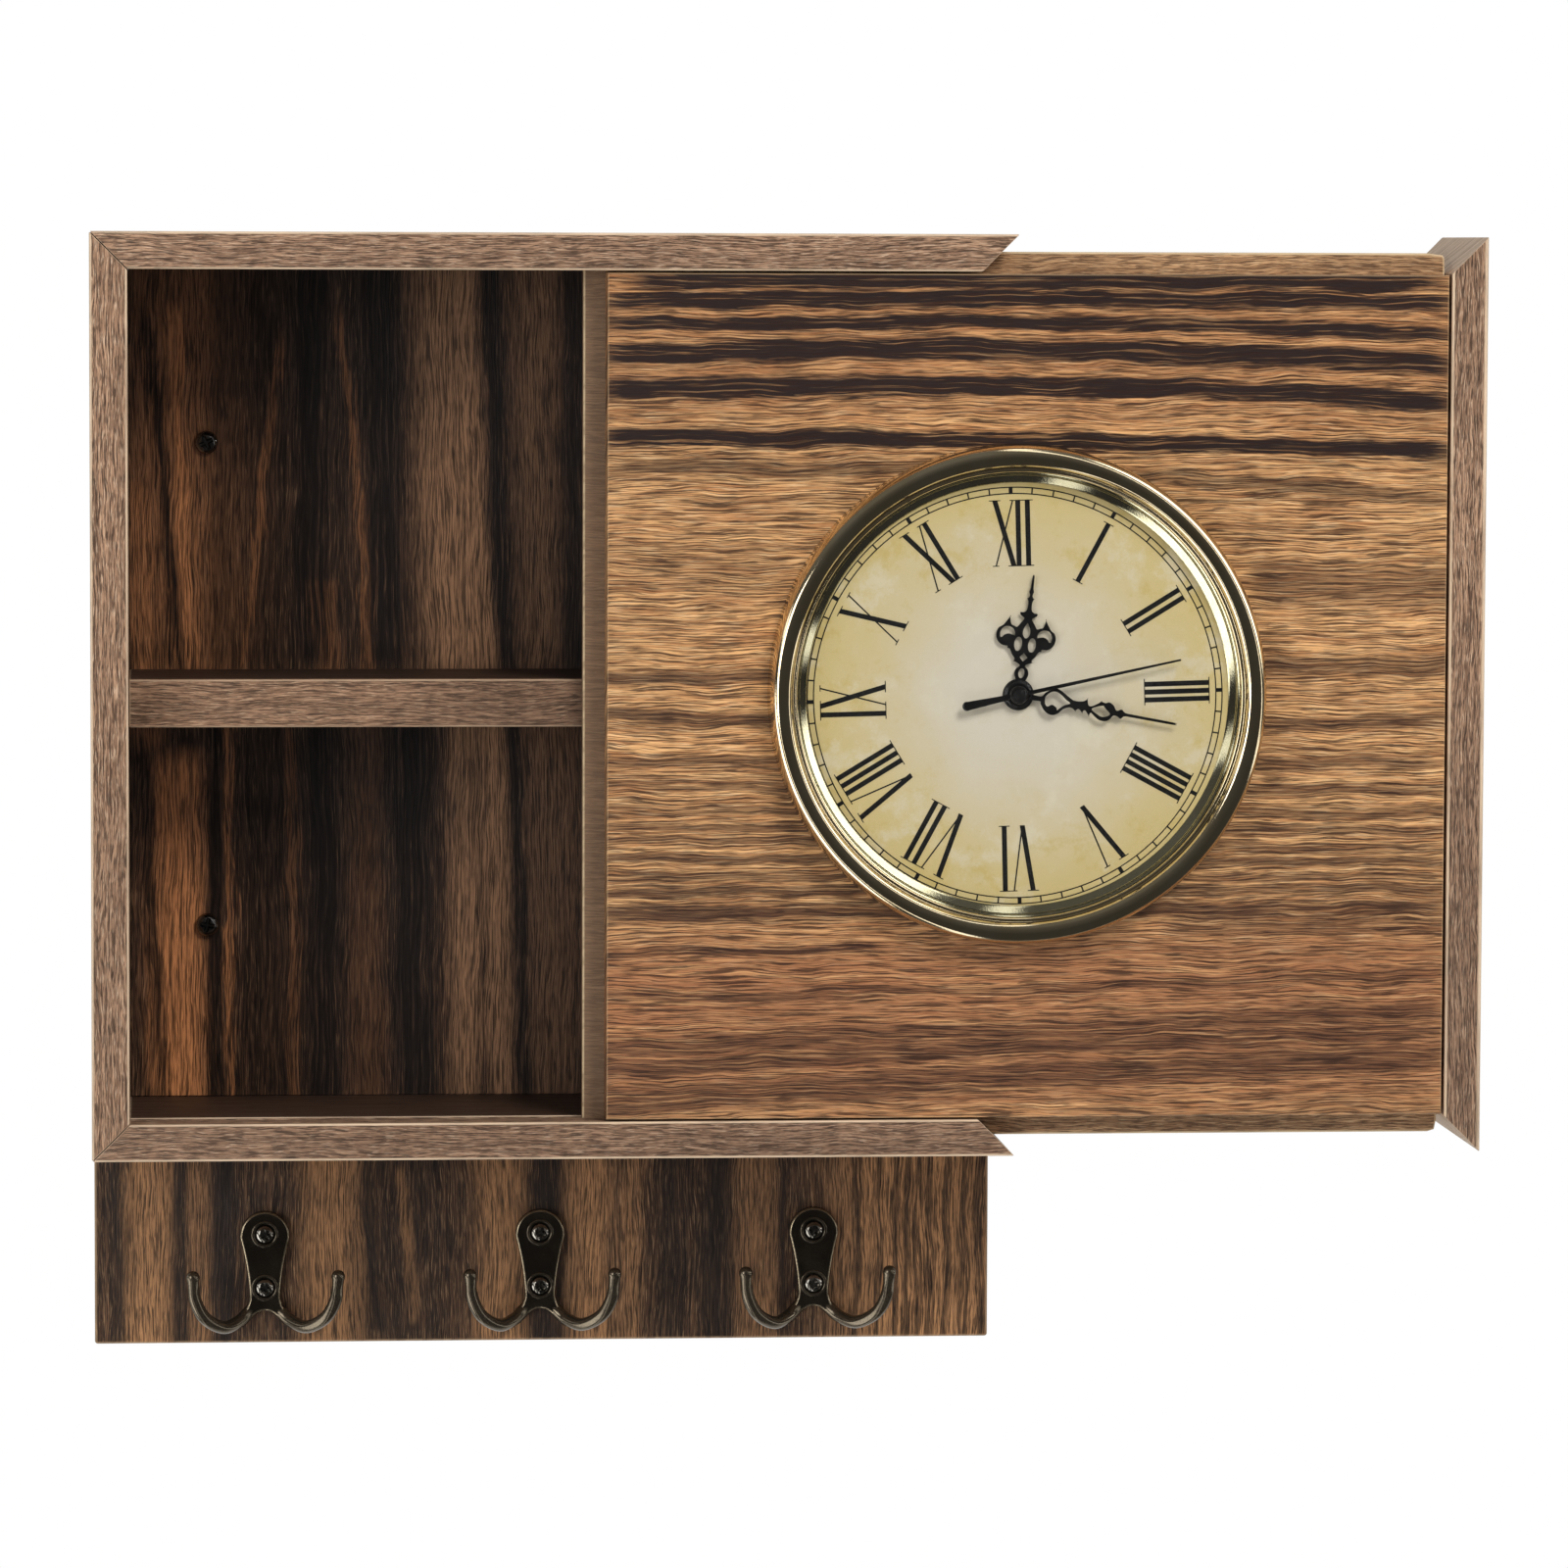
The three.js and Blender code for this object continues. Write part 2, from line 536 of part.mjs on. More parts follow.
// Clock insert: turned pieces stacked along the Y axis
function buildClockInsert() {
  const bezel = turned([
    [bezelPocket, flangeBackY], [bezelPocket, lipBackY], [bezelOpening, lipBackY],
    [bezelOpening, bezelFrontY + 2.1], [bezelOpening + 0.5, bezelFrontY + 1], [bezelOpening + 1.6, bezelFrontY + 0.9],
    [bezelOpening + 2.1, bezelFrontY], [bezelPocket + bezelWall * 0.6, bezelFrontY + 0.4],
    [bezelPocket + bezelWall, bezelFrontY + 2.4], [bezelPocket + bezelWall + 0.4, bezelFrontY + 4.6],
    [bezelRadius - 1.6, bezelFrontY + 5.6], [bezelRadius - 0.6, bezelFrontY + 7],
    [bezelRadius, flangeBackY - 1.6], [bezelRadius, flangeBackY], [bezelPocket, flangeBackY],
  ], ringSides);
  place(clock, 'clock_bezel', bezel, gold);

  // The glass is slightly domed: its rise falls with the square of the radius
  const domeSteps = 4;
  const dome = Array.from({ length: domeSteps + 1 }, (_, i) => {
    const share = i / domeSteps;
    return [share * bezelOpening, glassRise * (1 - share ** 2)];
  });
  const outer = dome.map(([radius, rise]) => [radius, glassEdgeFrontY - rise]);
  const inner = dome.map(([radius, rise]) => [radius, glassBackY - rise]).reverse();
  const rim = [[flangeRadius, glassEdgeFrontY], [flangeRadius, glassBackY]];
  place(clock, 'clock_glass', turned([...outer, ...rim, ...inner], ringSides), glass);

  const reflector = turned([
    [bezelOpening - reflectorSlope, reflectorBackY], [bezelOpening, reflectorFrontY],
    [flangeRadius, reflectorFrontY], [flangeRadius, reflectorBackY],
    [bezelOpening - reflectorSlope, reflectorBackY],
  ], ringSides);
  place(clock, 'clock_reflector', reflector, gold);
  place(clock, 'clock_dial', ring(bushRadius + turnClearance, flangeRadius, dialFrontY, dialBackY), dialPaper);

  // The case is a shallow cup with a flange in front and a square window for the movement
  const cupInner = clockCaseRadius - clockCaseWall;
  const cupFloorY = cupBackY - clockCaseWall;
  const cup = turned([
    [cupInner, flangeFrontY], [flangeRadius, flangeFrontY], [flangeRadius, flangeBackY],
    [clockCaseRadius, flangeBackY], [clockCaseRadius, cupBackY], [0, cupBackY],
    [0, cupFloorY], [cupInner, cupFloorY], [cupInner, flangeFrontY],
  ], ringSides);
  const half = movementHalf + seam;
  const window = box(-half, half, cupFloorY - 1, cupBackY + 1, -half, half);
  place(clock, 'clock_case', carve([cup], [window, ...earScrewHoles()]), blackPlastic);
  place(clock, 'clock_gasket', ring(gasketInner, gasketOuter, frontY + seam, cupBackY), rubber);
}

function earScrewHoles() {
  return [-1, 1].map((side) => hole(earScrew.shankRadius, cupBackY - clockCaseWall - 1, earBackY + 1,
    side * earScrewX, 0));
}

function buildMovement() {
  const half = movementHalf;
  const inner = half - movementWall;
  const bayLow = batteryZ - battery.radius - seam;
  const bayHigh = batteryZ + battery.radius + seam;
  const body = box(-half, half, movementFrontY, movementBackY, -half, half);
  const chamber = box(-inner, inner, movementFrontY - 1, movementInnerY, -inner, bayLow - movementWall);
  const bay = box(-inner, inner, movementFrontY + bayFloor, movementBackY + 1, bayLow, bayHigh);
  const ears = box(-half - movementEar.reach, half + movementEar.reach, earBackY - movementEar.thickness, earBackY,
    -movementEar.height / 2, movementEar.height / 2);
  const knobHole = rodY(knob.shaftRadius + turnClearance, movementInnerY - 1, movementBackY + 1,
    knobPlace.x, knobPlace.z, screwSides);
  const movementCase = carve([body, ears], [chamber, bay, knobHole, ...earScrewHoles()]);
  place(clock, 'movement_case', movementCase, blackPlastic);

  const cover = box(-half, half, coverFrontY, coverBackY, -half, half);
  const bush = rodY(bushRadius, bushFrontY, coverBackY - coverThickness / 2, 0, 0, boreSides);
  const bore = rodY(hourTubeRadius + turnClearance, bushFrontY - 1, coverBackY + 1, 0, 0, boreSides);
  place(clock, 'movement_cover', carve([cover, bush], [bore]), blackPlastic);

  for (const [side, sign] of [['left', -1], ['right', 1]]) {
    const fixing = screw(earScrew).rotateZ(Math.PI).translate(sign * earScrewX, earBackY + seam, 0);
    place(clock, `movement_screw_${side}`, fixing, screwSteel);
  }

  // The battery lies along X, its nub to the right, between a flat contact and a coned one
  const contactX = inner - seam;
  const contactFace = contactX - contactThickness;
  const nubEnd = contactFace - seam;
  const canRight = nubEnd - battery.nubLength;
  const canLeft = canRight - battery.length;
  const batteryY = movementBackY - batteryInset - battery.radius;
  const can = turned([[0, canLeft], [battery.radius, canLeft], [battery.radius, canRight],
    [battery.nubRadius, canRight], [battery.nubRadius, nubEnd], [0, nubEnd]], boreSides);
  place(clock, 'battery', can.rotateZ(-Math.PI / 2).translate(0, batteryY, batteryZ), batteryLabel);
  const plate = (x0, x1) => box(x0, x1, batteryY - contactHalf, batteryY + contactHalf,
    batteryZ - contactHalf, batteryZ + contactHalf);
  place(clock, 'contact_plus', plate(contactFace, contactX), brassMetal);
  const coneLength = springHeight + contactThickness / 2;
  const cone = new THREE.CylinderGeometry(contactHalf * 0.36, contactHalf * 0.68, coneLength, screwSides);
  cone.rotateZ(-Math.PI / 2).translate(canLeft - seam - coneLength / 2, batteryY, batteryZ);
  place(clock, 'contact_minus', carve([plate(-contactX, -contactFace), cone]), brassMetal);

  // Drive coil on its core, in the low left corner beside the wheels
  const coilY = movementFrontY + coil.depth;
  const coilZ = -inner + seam + coil.coreHalf;
  const coreX = -inner + seam;
  const windingX = coreX + coil.coreEnd;
  const winding = rodX(coil.radius, windingX, windingX + coil.length, coilY, coilZ, boreSides);
  const core = box(coreX, coreX + coil.length + 2 * coil.coreEnd, coilY - coil.coreThickness / 2,
    coilY + coil.coreThickness / 2, coilZ - coil.coreHalf, coilZ + coil.coreHalf);
  place(clock, 'movement_coil', carve([winding, core]), brassMetal);

  place(clock, 'setting_knob', settingKnob(), blackPlastic);
}

// Time-setting knob behind the movement, with its shaft and pinion inside
function settingKnob() {
  const knobFrontY = movementBackY + seam;
  const knobBackY = knobFrontY + knob.height;
  const pinionFrontY = movementInnerY - knob.shaftDepth;
  const { x, z } = knobPlace;
  const flutes = Array.from({ length: knobFlutes }, (_, i) => {
    const turn = 2 * Math.PI * i / knobFlutes;
    return rodY(fluteRadius, knobFrontY - 1, knobBackY + 1, x + knob.radius * Math.cos(turn),
      z + knob.radius * Math.sin(turn), 8);
  });
  const grip = carve([rodY(knob.radius, knobFrontY, knobBackY, x, z)], flutes);
  const shaft = rodY(knob.shaftRadius, pinionFrontY, knobFrontY + knob.height / 2, x, z, screwSides);
  const pinion = rodY(knob.pinionRadius, pinionFrontY, pinionFrontY + knob.pinionHeight, x, z, boreSides);
  return carve([grip, shaft, pinion]);
}

// A wheel on a tube or arbor that runs forwards to the back of its hand; each turns inside the next
function wheelOnTube(order, outer, inner, handFrontY) {
  const wheelFrontY = movementFrontY + firstWheelDepth + order * wheelStep - wheelThickness / 2;
  const wheelBackY = wheelFrontY + wheelThickness;
  const tubeFrontY = handFrontY + handThickness + seam;
  const tube = rodY(outer, tubeFrontY, wheelBackY, 0, 0, boreSides);
  const wheel = rodY(wheelRadius, wheelFrontY, wheelBackY, 0, 0, 24);
  const bore = inner > 0 ? [rodY(inner, tubeFrontY - 1, wheelBackY + 1, 0, 0, boreSides)] : [];
  return carve([tube, wheel], bore);
}

// Flat strokes of a hand, drawn pointing up from the axis
function stroke(x0, z0, half0, x1, z1, half1) {
  const along = new THREE.Vector2(x1 - x0, z1 - z0).normalize();
  const [nx, nz] = [-along.y, along.x];
  return polygon([[x0 - nx * half0, z0 - nz * half0], [x1 - nx * half1, z1 - nz * half1],
    [x1 + nx * half1, z1 + nz * half1], [x0 + nx * half0, z0 + nz * half0]]);
}

function oval(x, z, halfWidthX, halfHeightZ, sides = 14) {
  const points = [];
  for (let i = 0; i < sides; i += 1) {
    const turn = 2 * Math.PI * i / sides;
    points.push([x + halfWidthX * Math.cos(turn), z + halfHeightZ * Math.sin(turn)]);
  }
  return polygon(points);
}

function hub(radius) {
  return oval(0, 0, radius, radius, 24);
}

// The hand's strokes are joined, its openings and bore cut out, and it is turned to its place
function hand(strokes, openings, bore, frontY, angle) {
  const backY = frontY + handThickness;
  const joined = strokes.map((shape) => plateY(shape, frontY, backY));
  const cuts = openings.map((shape) => plateY(shape, frontY - 1, backY + 1));
  if (bore > 0) cuts.push(rodY(bore, frontY - 1, backY + 1, 0, 0, 24));
  return carve(joined, cuts).rotateY(THREE.MathUtils.degToRad(angle));
}

function hourHand() {
  const strokes = [
    hub(hourTubeRadius + 1.5), oval(0, 5.7, 2, 2.1), stroke(0, 7, 0.6, 0, 9.4, 1.1),
    stroke(-2.4, 9.2, 0.4, 2.4, 9.2, 0.4),
    polygon([[-1.4, 9], [1.4, 9], [4.4, 12.6], [4.4, 16.2], [1.2, 21], [-1.2, 21], [-4.4, 16.2], [-4.4, 12.6]]),
    oval(-5.2, 16.7, 3.2, 3.2, 18), oval(5.2, 16.7, 3.2, 3.2, 18),
    stroke(-5.6, 19.4, 0.6, -5, 21.4, 0.15), stroke(5.6, 19.4, 0.6, 5, 21.4, 0.15),
    stroke(-2.4, 22.6, 0.6, 2.4, 22.6, 0.6), stroke(0, 20, 1.3, 0, 23.6, 0.9), stroke(0, 23.4, 0.8, 0, 26.8, 0.45),
    oval(0, 26.9, 0.75, 1), stroke(0, 26.8, 0.45, 0, handLength.hour, 0.2),
  ];
  const openings = [
    oval(0, 5.8, 0.95, 1.15), polygon([[0, 8.9], [1.1, 10.1], [0, 11.3], [-1.1, 10.1]]),
    oval(-2, 14.1, 0.95, 2.1), oval(2, 14.1, 0.95, 2.1), oval(0, 17.9, 0.95, 2),
    oval(-5.4, 17.5, 2.1, 1.5), oval(5.4, 17.5, 2.1, 1.5),
  ];
  return hand(strokes, openings, hourTubeRadius, hourHandFrontY, hourHandAngle);
}

function minuteHand() {
  const strokes = [
    hub(minuteTubeRadius + 2.1), stroke(0, 3, 1.1, 0, 7, 0.8), oval(0, 11, 2.9, 4.4, 22),
    stroke(0, 14.6, 1, 0, 20, 1.1), stroke(-1.7, 18.4, 0.2, 1.7, 17, 0.7), oval(0, 23.2, 1.7, 3.4, 18),
    stroke(0, 26, 0.9, 0, 28, 0.6), oval(0, 28.2, 1.15, 0.9),
    stroke(0, 28.4, 0.6, 0, handLength.minute, 0.35),
  ];
  const openings = [oval(0.2, 10.8, 1.9, 3.2, 18), oval(0.2, 23, 0.9, 2.3, 14)];
  return hand(strokes, openings, minuteTubeRadius, minuteHandFrontY, minuteHandAngle);
}

function secondHand() {
  const strokes = [
    hub(secondArborRadius + 1.8), stroke(0, 0, 0.6, 0, handLength.second, 0.35),
    stroke(0, 0, 0.6, 0, -handLength.secondTail, 1.2), oval(0, -handLength.secondTail, 1.25, 1.3),
  ];
  return hand(strokes, [], 0, secondHandFrontY, secondHandAngle);
}

function buildHands() {
  const hourWheel = wheelOnTube(0, hourTubeRadius, minuteTubeRadius + turnClearance, hourHandFrontY);
  const minuteWheel = wheelOnTube(1, minuteTubeRadius, secondArborRadius + turnClearance, minuteHandFrontY);
  place(clock, 'hour_wheel', hourWheel, brassMetal);
  place(clock, 'minute_wheel', minuteWheel, brassMetal);
  place(clock, 'second_wheel', wheelOnTube(2, secondArborRadius, 0, secondHandFrontY), brassMetal);
  place(clock, 'hour_hand', hourHand(), handBlack);
  place(clock, 'minute_hand', minuteHand(), handBlack);
  place(clock, 'second_hand', secondHand(), handBlack);
}

buildFrame();
buildBack();
buildShelf();
buildHookBoard();
buildHooks();
buildSliderBoards();
buildClockInsert();
buildMovement();
buildHands();

const diversionSafe = new THREE.Group();
diversionSafe.add(cabinet, slider);

export default diversionSafe;
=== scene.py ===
"""Looks of the clock safe: a wall clock on a sliding panel, with two bays behind it and a hook board below.

Lengths are in millimetres in the object's own frame, and become metres where a mesh is made.
"""

import math

import bmesh
import bpy
import numpy as np
from mathutils import Matrix, geometry


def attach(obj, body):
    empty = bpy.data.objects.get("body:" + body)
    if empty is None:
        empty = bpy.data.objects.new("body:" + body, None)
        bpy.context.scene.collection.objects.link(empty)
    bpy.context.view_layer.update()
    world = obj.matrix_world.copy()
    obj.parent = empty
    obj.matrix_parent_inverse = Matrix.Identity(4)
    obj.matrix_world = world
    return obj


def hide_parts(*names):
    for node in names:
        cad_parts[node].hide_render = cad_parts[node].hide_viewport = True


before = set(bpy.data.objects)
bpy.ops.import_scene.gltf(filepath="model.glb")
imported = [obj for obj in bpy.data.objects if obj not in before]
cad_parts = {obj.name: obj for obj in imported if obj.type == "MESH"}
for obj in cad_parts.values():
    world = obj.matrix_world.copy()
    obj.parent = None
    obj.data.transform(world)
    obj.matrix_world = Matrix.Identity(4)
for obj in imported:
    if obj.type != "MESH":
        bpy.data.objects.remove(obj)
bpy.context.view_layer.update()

MM = 0.001
CLOCK_X, CLOCK_Z = 129.6, 1.0     # the clock's axis, with the slider open
CASE_FRONT = -76.0
CASE_HALF = 130.0
MITRE_GAP = 0.212
HOOK_X = (-80.9, -1.1, 78.7)
HOOK_TOP = -152.9     # top of a hook's plate
HOOK_BACK = -8.3
BOARD = 10.5          # thickness of the frame's boards
TRAVEL = 133.0        # of the slider


# Shapes

def unit(vectors):
    """Each vector divided by its own length."""
    return vectors / np.linalg.norm(vectors, axis=-1, keepdims=True)


def circle(count):
    """Angles of points spread evenly round a circle."""
    return np.linspace(0, 2 * np.pi, count, endpoint=False)


def standing(flat, y):
    """Places in X and Z, set at the depth y."""
    return np.insert(flat, 1, y, axis=1)


def band(rows, cols, closed=False):
    """Quads of a grid whose columns go round: corner (r, c) is joined to (r, c+1), (r+1, c+1) and (r+1, c).
    In a closed one the last row is joined to the first."""
    r = np.arange(rows if closed else rows - 1)[:, None]
    c = np.arange(cols)[None, :]
    here, there = r * cols, (r + 1) % rows * cols
    side = (c + 1) % cols
    return np.stack([here + c, here + side, there + side, there + c], -1).reshape(-1, 4)


def capped_band(rows, cols):
    """An open grid's quads, with its first and last row as two more faces."""
    return [band(rows, cols), list(range(cols)), list(range((rows - 1) * cols, rows * cols))]


def shell(points, faces, smooth=True, arris=0.0):
    """A closed skin: points (n, 3), faces as index lists, smooth and arris for all or one each."""
    points = np.asarray(points, float).reshape(-1, 3)
    faces = [list(f) for part in faces for f in (part.tolist() if hasattr(part, "tolist") else [part])]
    return {
        "points": points,
        "faces": faces,
        "smooth": np.broadcast_to(smooth, len(faces)).astype(bool),
        "arris": np.broadcast_to(arris, len(points)).astype(float),
    }


def piece(name, shells, material, body, replaces=(), sharp=40.0):
    """One object from its skins: points that meet are welded, faces turned outward, and edges whose faces
    meet at more than `sharp` degrees stay sharp."""
    shells = shells if isinstance(shells, list) else [shells]
    starts = np.cumsum([0] + [len(s["points"]) for s in shells])
    faces = [[i + start for i in f] for s, start in zip(shells, starts) for f in s["faces"]]
    mesh = bpy.data.meshes.new(name)
    mesh.from_pydata(np.concatenate([s["points"] for s in shells]) * MM, [], faces)
    mesh.polygons.foreach_set("use_smooth", np.concatenate([s["smooth"] for s in shells]))
    wear_and_highlight = mesh.attributes.new("arris", "FLOAT", "POINT")
    wear_and_highlight.data.foreach_set("value", np.concatenate([s["arris"] for s in shells]).astype(np.float32))
    work = bmesh.new()
    work.from_mesh(mesh)
    bmesh.ops.remove_doubles(work, verts=work.verts, dist=2e-6)
    bmesh.ops.recalc_face_normals(work, faces=work.faces)
    work.to_mesh(mesh)
    work.free()
    mesh.set_sharp_from_angle(angle=math.radians(sharp))
    mesh.materials.append(material)
    thing = bpy.data.objects.new(name, mesh)
    bpy.context.scene.collection.objects.link(thing)
    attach(thing, body)
    if replaces:
        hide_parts(*replaces)
    return thing


def rounded(corners, cut, steps=4):
    """Outline with rounded corners: by corner C, with A and B at `cut` on its edges, it is
    (1-t)^2 A + 2t(1-t) C + t^2 B.
    The second result is 1 inside a corner's curve and 0 at its ends."""
    corners = np.asarray(corners, float)
    cut = np.broadcast_to(cut, len(corners))[:, None]
    start = corners + unit(np.roll(corners, 1, 0) - corners) * cut
    end = corners + unit(np.roll(corners, -1, 0) - corners) * cut
    t = np.linspace(0, 1, steps + 1)[:, None, None]
    curves = (1 - t) ** 2 * start + 2 * t * (1 - t) * corners + t * t * end
    wear_and_highlight = np.tile(np.r_[0, np.ones(steps - 1), 0], len(corners))
    return curves.transpose(1, 0, 2).reshape(-1, 2), wear_and_highlight


def drawn_in(outline, amount):
    """A closed outline moved inward by `amount`, each point against the mean of its edges' outward
    normals."""
    ahead = unit(np.roll(outline, -1, 0) - outline)
    behind = np.roll(ahead, 1, 0)
    turn = unit(ahead + behind)
    normal = np.stack([turn[:, 1], -turn[:, 0]], -1)
    area = np.sum(outline[:, 0] * np.roll(outline[:, 1], -1) - np.roll(outline[:, 0], -1) * outline[:, 1])
    return outline - normal * amount * np.sign(area)


def mitred_board(place, grooved):
    """A profile in (y, depth) carried along the board. Its ends lie at 45 degrees: the length falls with
    depth."""
    plain = [(CASE_FRONT, 0), (0, 0), (0, BOARD)]
    groove = [(-60.0, BOARD), (-60.0, 4.5), (-65.6, 4.5), (-65.6, BOARD)]
    cuts = [0.8, 0.5, 0.4, 0.35, 0.2, 0.2, 0.35, 0.7] if grooved else [1.4, 0.5, 0.4, 0.9]
    profile, wear_and_highlight = rounded(plain + (groove if grooved else []) + [(CASE_FRONT, BOARD)], cuts)
    small = drawn_in(profile, 0.15)
    half = CASE_HALF - MITRE_GAP
    rows = [(small, -1, 0.0), (profile, -1, 0.3), (profile, 1, 0.3), (small, 1, 0.0)]
    grid = np.array([np.column_stack([side * (half - p[:, 1] - short), p]) for p, side, short in rows])
    a, y, depth = grid.reshape(-1, 3).T
    cols = len(profile)
    flat = (wear_and_highlight < 0.5) & (np.roll(wear_and_highlight, -1) < 0.5)
    smooth = np.concatenate([np.zeros(cols), ~flat, np.zeros(cols), [0, 0]])
    # Arris shares on the mitre tips and rounded edges, where the paler tone goes: partly wear, partly painted
    # highlight.
    tips = np.full(cols, 0.6)
    arris = np.concatenate([tips, wear_and_highlight, wear_and_highlight, tips])
    return shell(np.stack(place(a, y, depth), -1), capped_band(4, cols), smooth, arris)


def slab(x, y, z, radius, steps=3):
    """A box with round arrises: each point is a corner of the inner box plus `radius` times a unit
    direction."""
    low, high = np.array([x, y, z], float).T
    quarter = np.linspace(0, np.pi / 2, steps + 1)
    q = np.concatenate([quarter, np.pi - quarter[::-1]])
    turn = (np.arange(4)[:, None] * np.pi / 2 + quarter).ravel()
    side_x = np.repeat([-1, 1], steps + 1)[:, None]
    side_y = np.repeat([1, -1, -1, 1], steps + 1)
    side_z = np.repeat([1, 1, -1, -1], steps + 1)
    way = np.stack(np.broadcast_arrays(-np.cos(q)[:, None], np.sin(q)[:, None] * np.cos(turn),
                                       np.sin(q)[:, None] * np.sin(turn)), -1)
    sides = np.stack(np.broadcast_arrays(side_x, side_y, side_z), -1)
    points = (low + high) / 2 + sides * ((high - low) / 2 - radius) + way * radius
    inner_row = ((np.arange(len(q)) % (steps + 1)) % steps != 0)[:, None]
    inner_col = (np.tile(np.arange(steps + 1), 4) % steps != 0)[None, :]
    arris = (inner_row | inner_col).astype(float)
    rows, cols = arris.shape
    flat_row = np.arange(rows - 1)[:, None] == steps
    flat_col = (np.arange(cols) % (steps + 1) == steps)[None, :]
    smooth = np.concatenate([~(flat_row & flat_col).ravel(), [False, False]])
    return shell(points, capped_band(rows, cols), smooth, arris.ravel())


def holed_plate(x, z, y, hole, hole_radius, radius, corner=0.0):
    """A rectangle with a round hole. At each angle a section runs from the hole over the front, round the
    edge and back. The edge lies where the ray from the hole's middle meets the rectangle, held inside by
    the arris."""
    low, high = np.array([x, z]).T
    corners = np.array([(i, j) for i in x for j in z])
    turns = np.concatenate([circle(256), np.arctan2(*(corners - hole).T[::-1]) % (2 * np.pi)])
    turns = np.unique(np.round(turns, 6))
    ray = np.stack([np.cos(turns), np.sin(turns)], -1)
    reach = abs((np.where(ray > 0, high, low) - hole) / np.where(abs(ray) < 1e-9, 1e-9, ray)).min(1)
    rim = ray * reach[:, None] + hole
    bore = ray * hole_radius + hole

    def edge(inset):
        held = np.clip(rim, low + inset, high - inset)
        if corner <= inset:
            return held
        middle, half = (low + high) / 2, (high - low) / 2 - corner
        off = held - middle
        past = np.maximum(abs(off) - half, 0)
        length = np.linalg.norm(past, axis=1, keepdims=True)
        shorter = np.where(length > corner - inset, (corner - inset) / np.maximum(length, 1e-9), 1)
        return middle + np.sign(off) * (np.minimum(abs(off), half) + past * shorter)

    q = np.linspace(0, np.pi / 2, 4)
    insets, depths, worn_and_lit = radius * (1 - np.sin(q)), radius * (1 - np.cos(q)), (0, 1, 1, 0)
    section = [(bore, y[0], 0)]
    section += [(edge(i), y[0] + d, w) for i, d, w in zip(insets, depths, worn_and_lit)]
    section += [(edge(i), y[1] - d, w) for i, d, w in zip(insets[::-1], depths[::-1], worn_and_lit)]
    section += [(bore, y[1], 0)]
    points = np.array([standing(flat, depth) for flat, depth, _ in section])
    arris = np.repeat([float(s[2]) for s in section], len(turns))
    flat_rows = np.isin(np.arange(len(section)), (0, 4, 8))      # front, edge and back
    smooth = np.repeat(~flat_rows, len(turns))
    return shell(points, [band(len(section), len(turns), True)], smooth, arris)


def turned(profile, sides=192, x=CLOCK_X, z=CLOCK_Z, closed=True, arris=0.0):
    """A profile of (radius, y) turned round the line along Y through (x, z)."""
    radius, y = np.asarray(profile, float).T
    turn = circle(sides)
    points = np.stack(np.broadcast_arrays(x + radius[:, None] * np.cos(turn), y[:, None],
                                          z + radius[:, None] * np.sin(turn)), -1)
    wear_and_highlight = np.repeat(np.broadcast_to(arris, len(radius)), sides)
    return shell(points, [band(len(radius), sides, closed)], True, wear_and_highlight)


def spline(knots, count, closed=False):
    """Catmull-Rom curve: between knots B and C, with neighbours A and D, it is the cubic whose slopes are
    (C-A)/2 at B and (D-B)/2 at C."""
    knots = np.asarray(knots, float)
    if closed:
        padded = np.concatenate([knots[-1:], knots, knots[:2]])
        spans = len(knots)
    else:
        padded = np.concatenate([2 * knots[:1] - knots[1:2], knots, 2 * knots[-1:] - knots[-2:-1]])
        spans = len(knots) - 1
    s = np.linspace(0, spans, count, endpoint=not closed)
    i = np.minimum(s.astype(int), spans - 1)
    t = (s - i)[:, None]
    a, b, c, d = (padded[i + k] for k in range(4))
    return (b + t * (c - a) / 2 + t * t * (2 * a - 5 * b + 4 * c - d) / 2
            + t ** 3 * (3 * b - a - 3 * c + d) / 2)


def tube(path, radius, sides=28, wear_and_highlight=0.32):
    """A circle carried along a path: its plane is square to the path, turned from one fixed direction."""
    along = unit(np.gradient(path, axis=0))
    steady = unit(np.cross(along[0], along[-1]) + 1e-9)
    first = unit(np.cross(along, steady))
    second = np.cross(along, first)
    turn = circle(sides)[:, None]
    ring = first[:, None] * np.cos(turn) + second[:, None] * np.sin(turn)
    return shell(path[:, None] + ring * radius[:, None, None], capped_band(len(path), sides), True, wear_and_highlight)


def blocks(corners, front, back):
    """A thin block for each four-cornered outline in X and Z: its corners at `front` and again at `back`."""
    points = np.stack([standing(corners[:, i], y) for y in (front, back) for i in range(4)], 1)
    one = np.array([[0, 1, 2, 3], [4, 5, 6, 7], [0, 1, 5, 4], [1, 2, 6, 5], [2, 3, 7, 6], [3, 0, 4, 7]])
    faces = (np.arange(len(corners))[:, None, None] * 8 + one).reshape(-1, 4)
    return shell(points, [faces], False)


# Materials

def colour(red, green, blue):
    """Screen colour, 0 to 255, as linear light with alpha."""
    screen = np.array([red, green, blue]) / 255
    linear = np.where(screen <= 0.04045, screen / 12.92, ((screen + 0.055) / 1.055) ** 2.4)
    return (*linear.tolist(), 1.0)


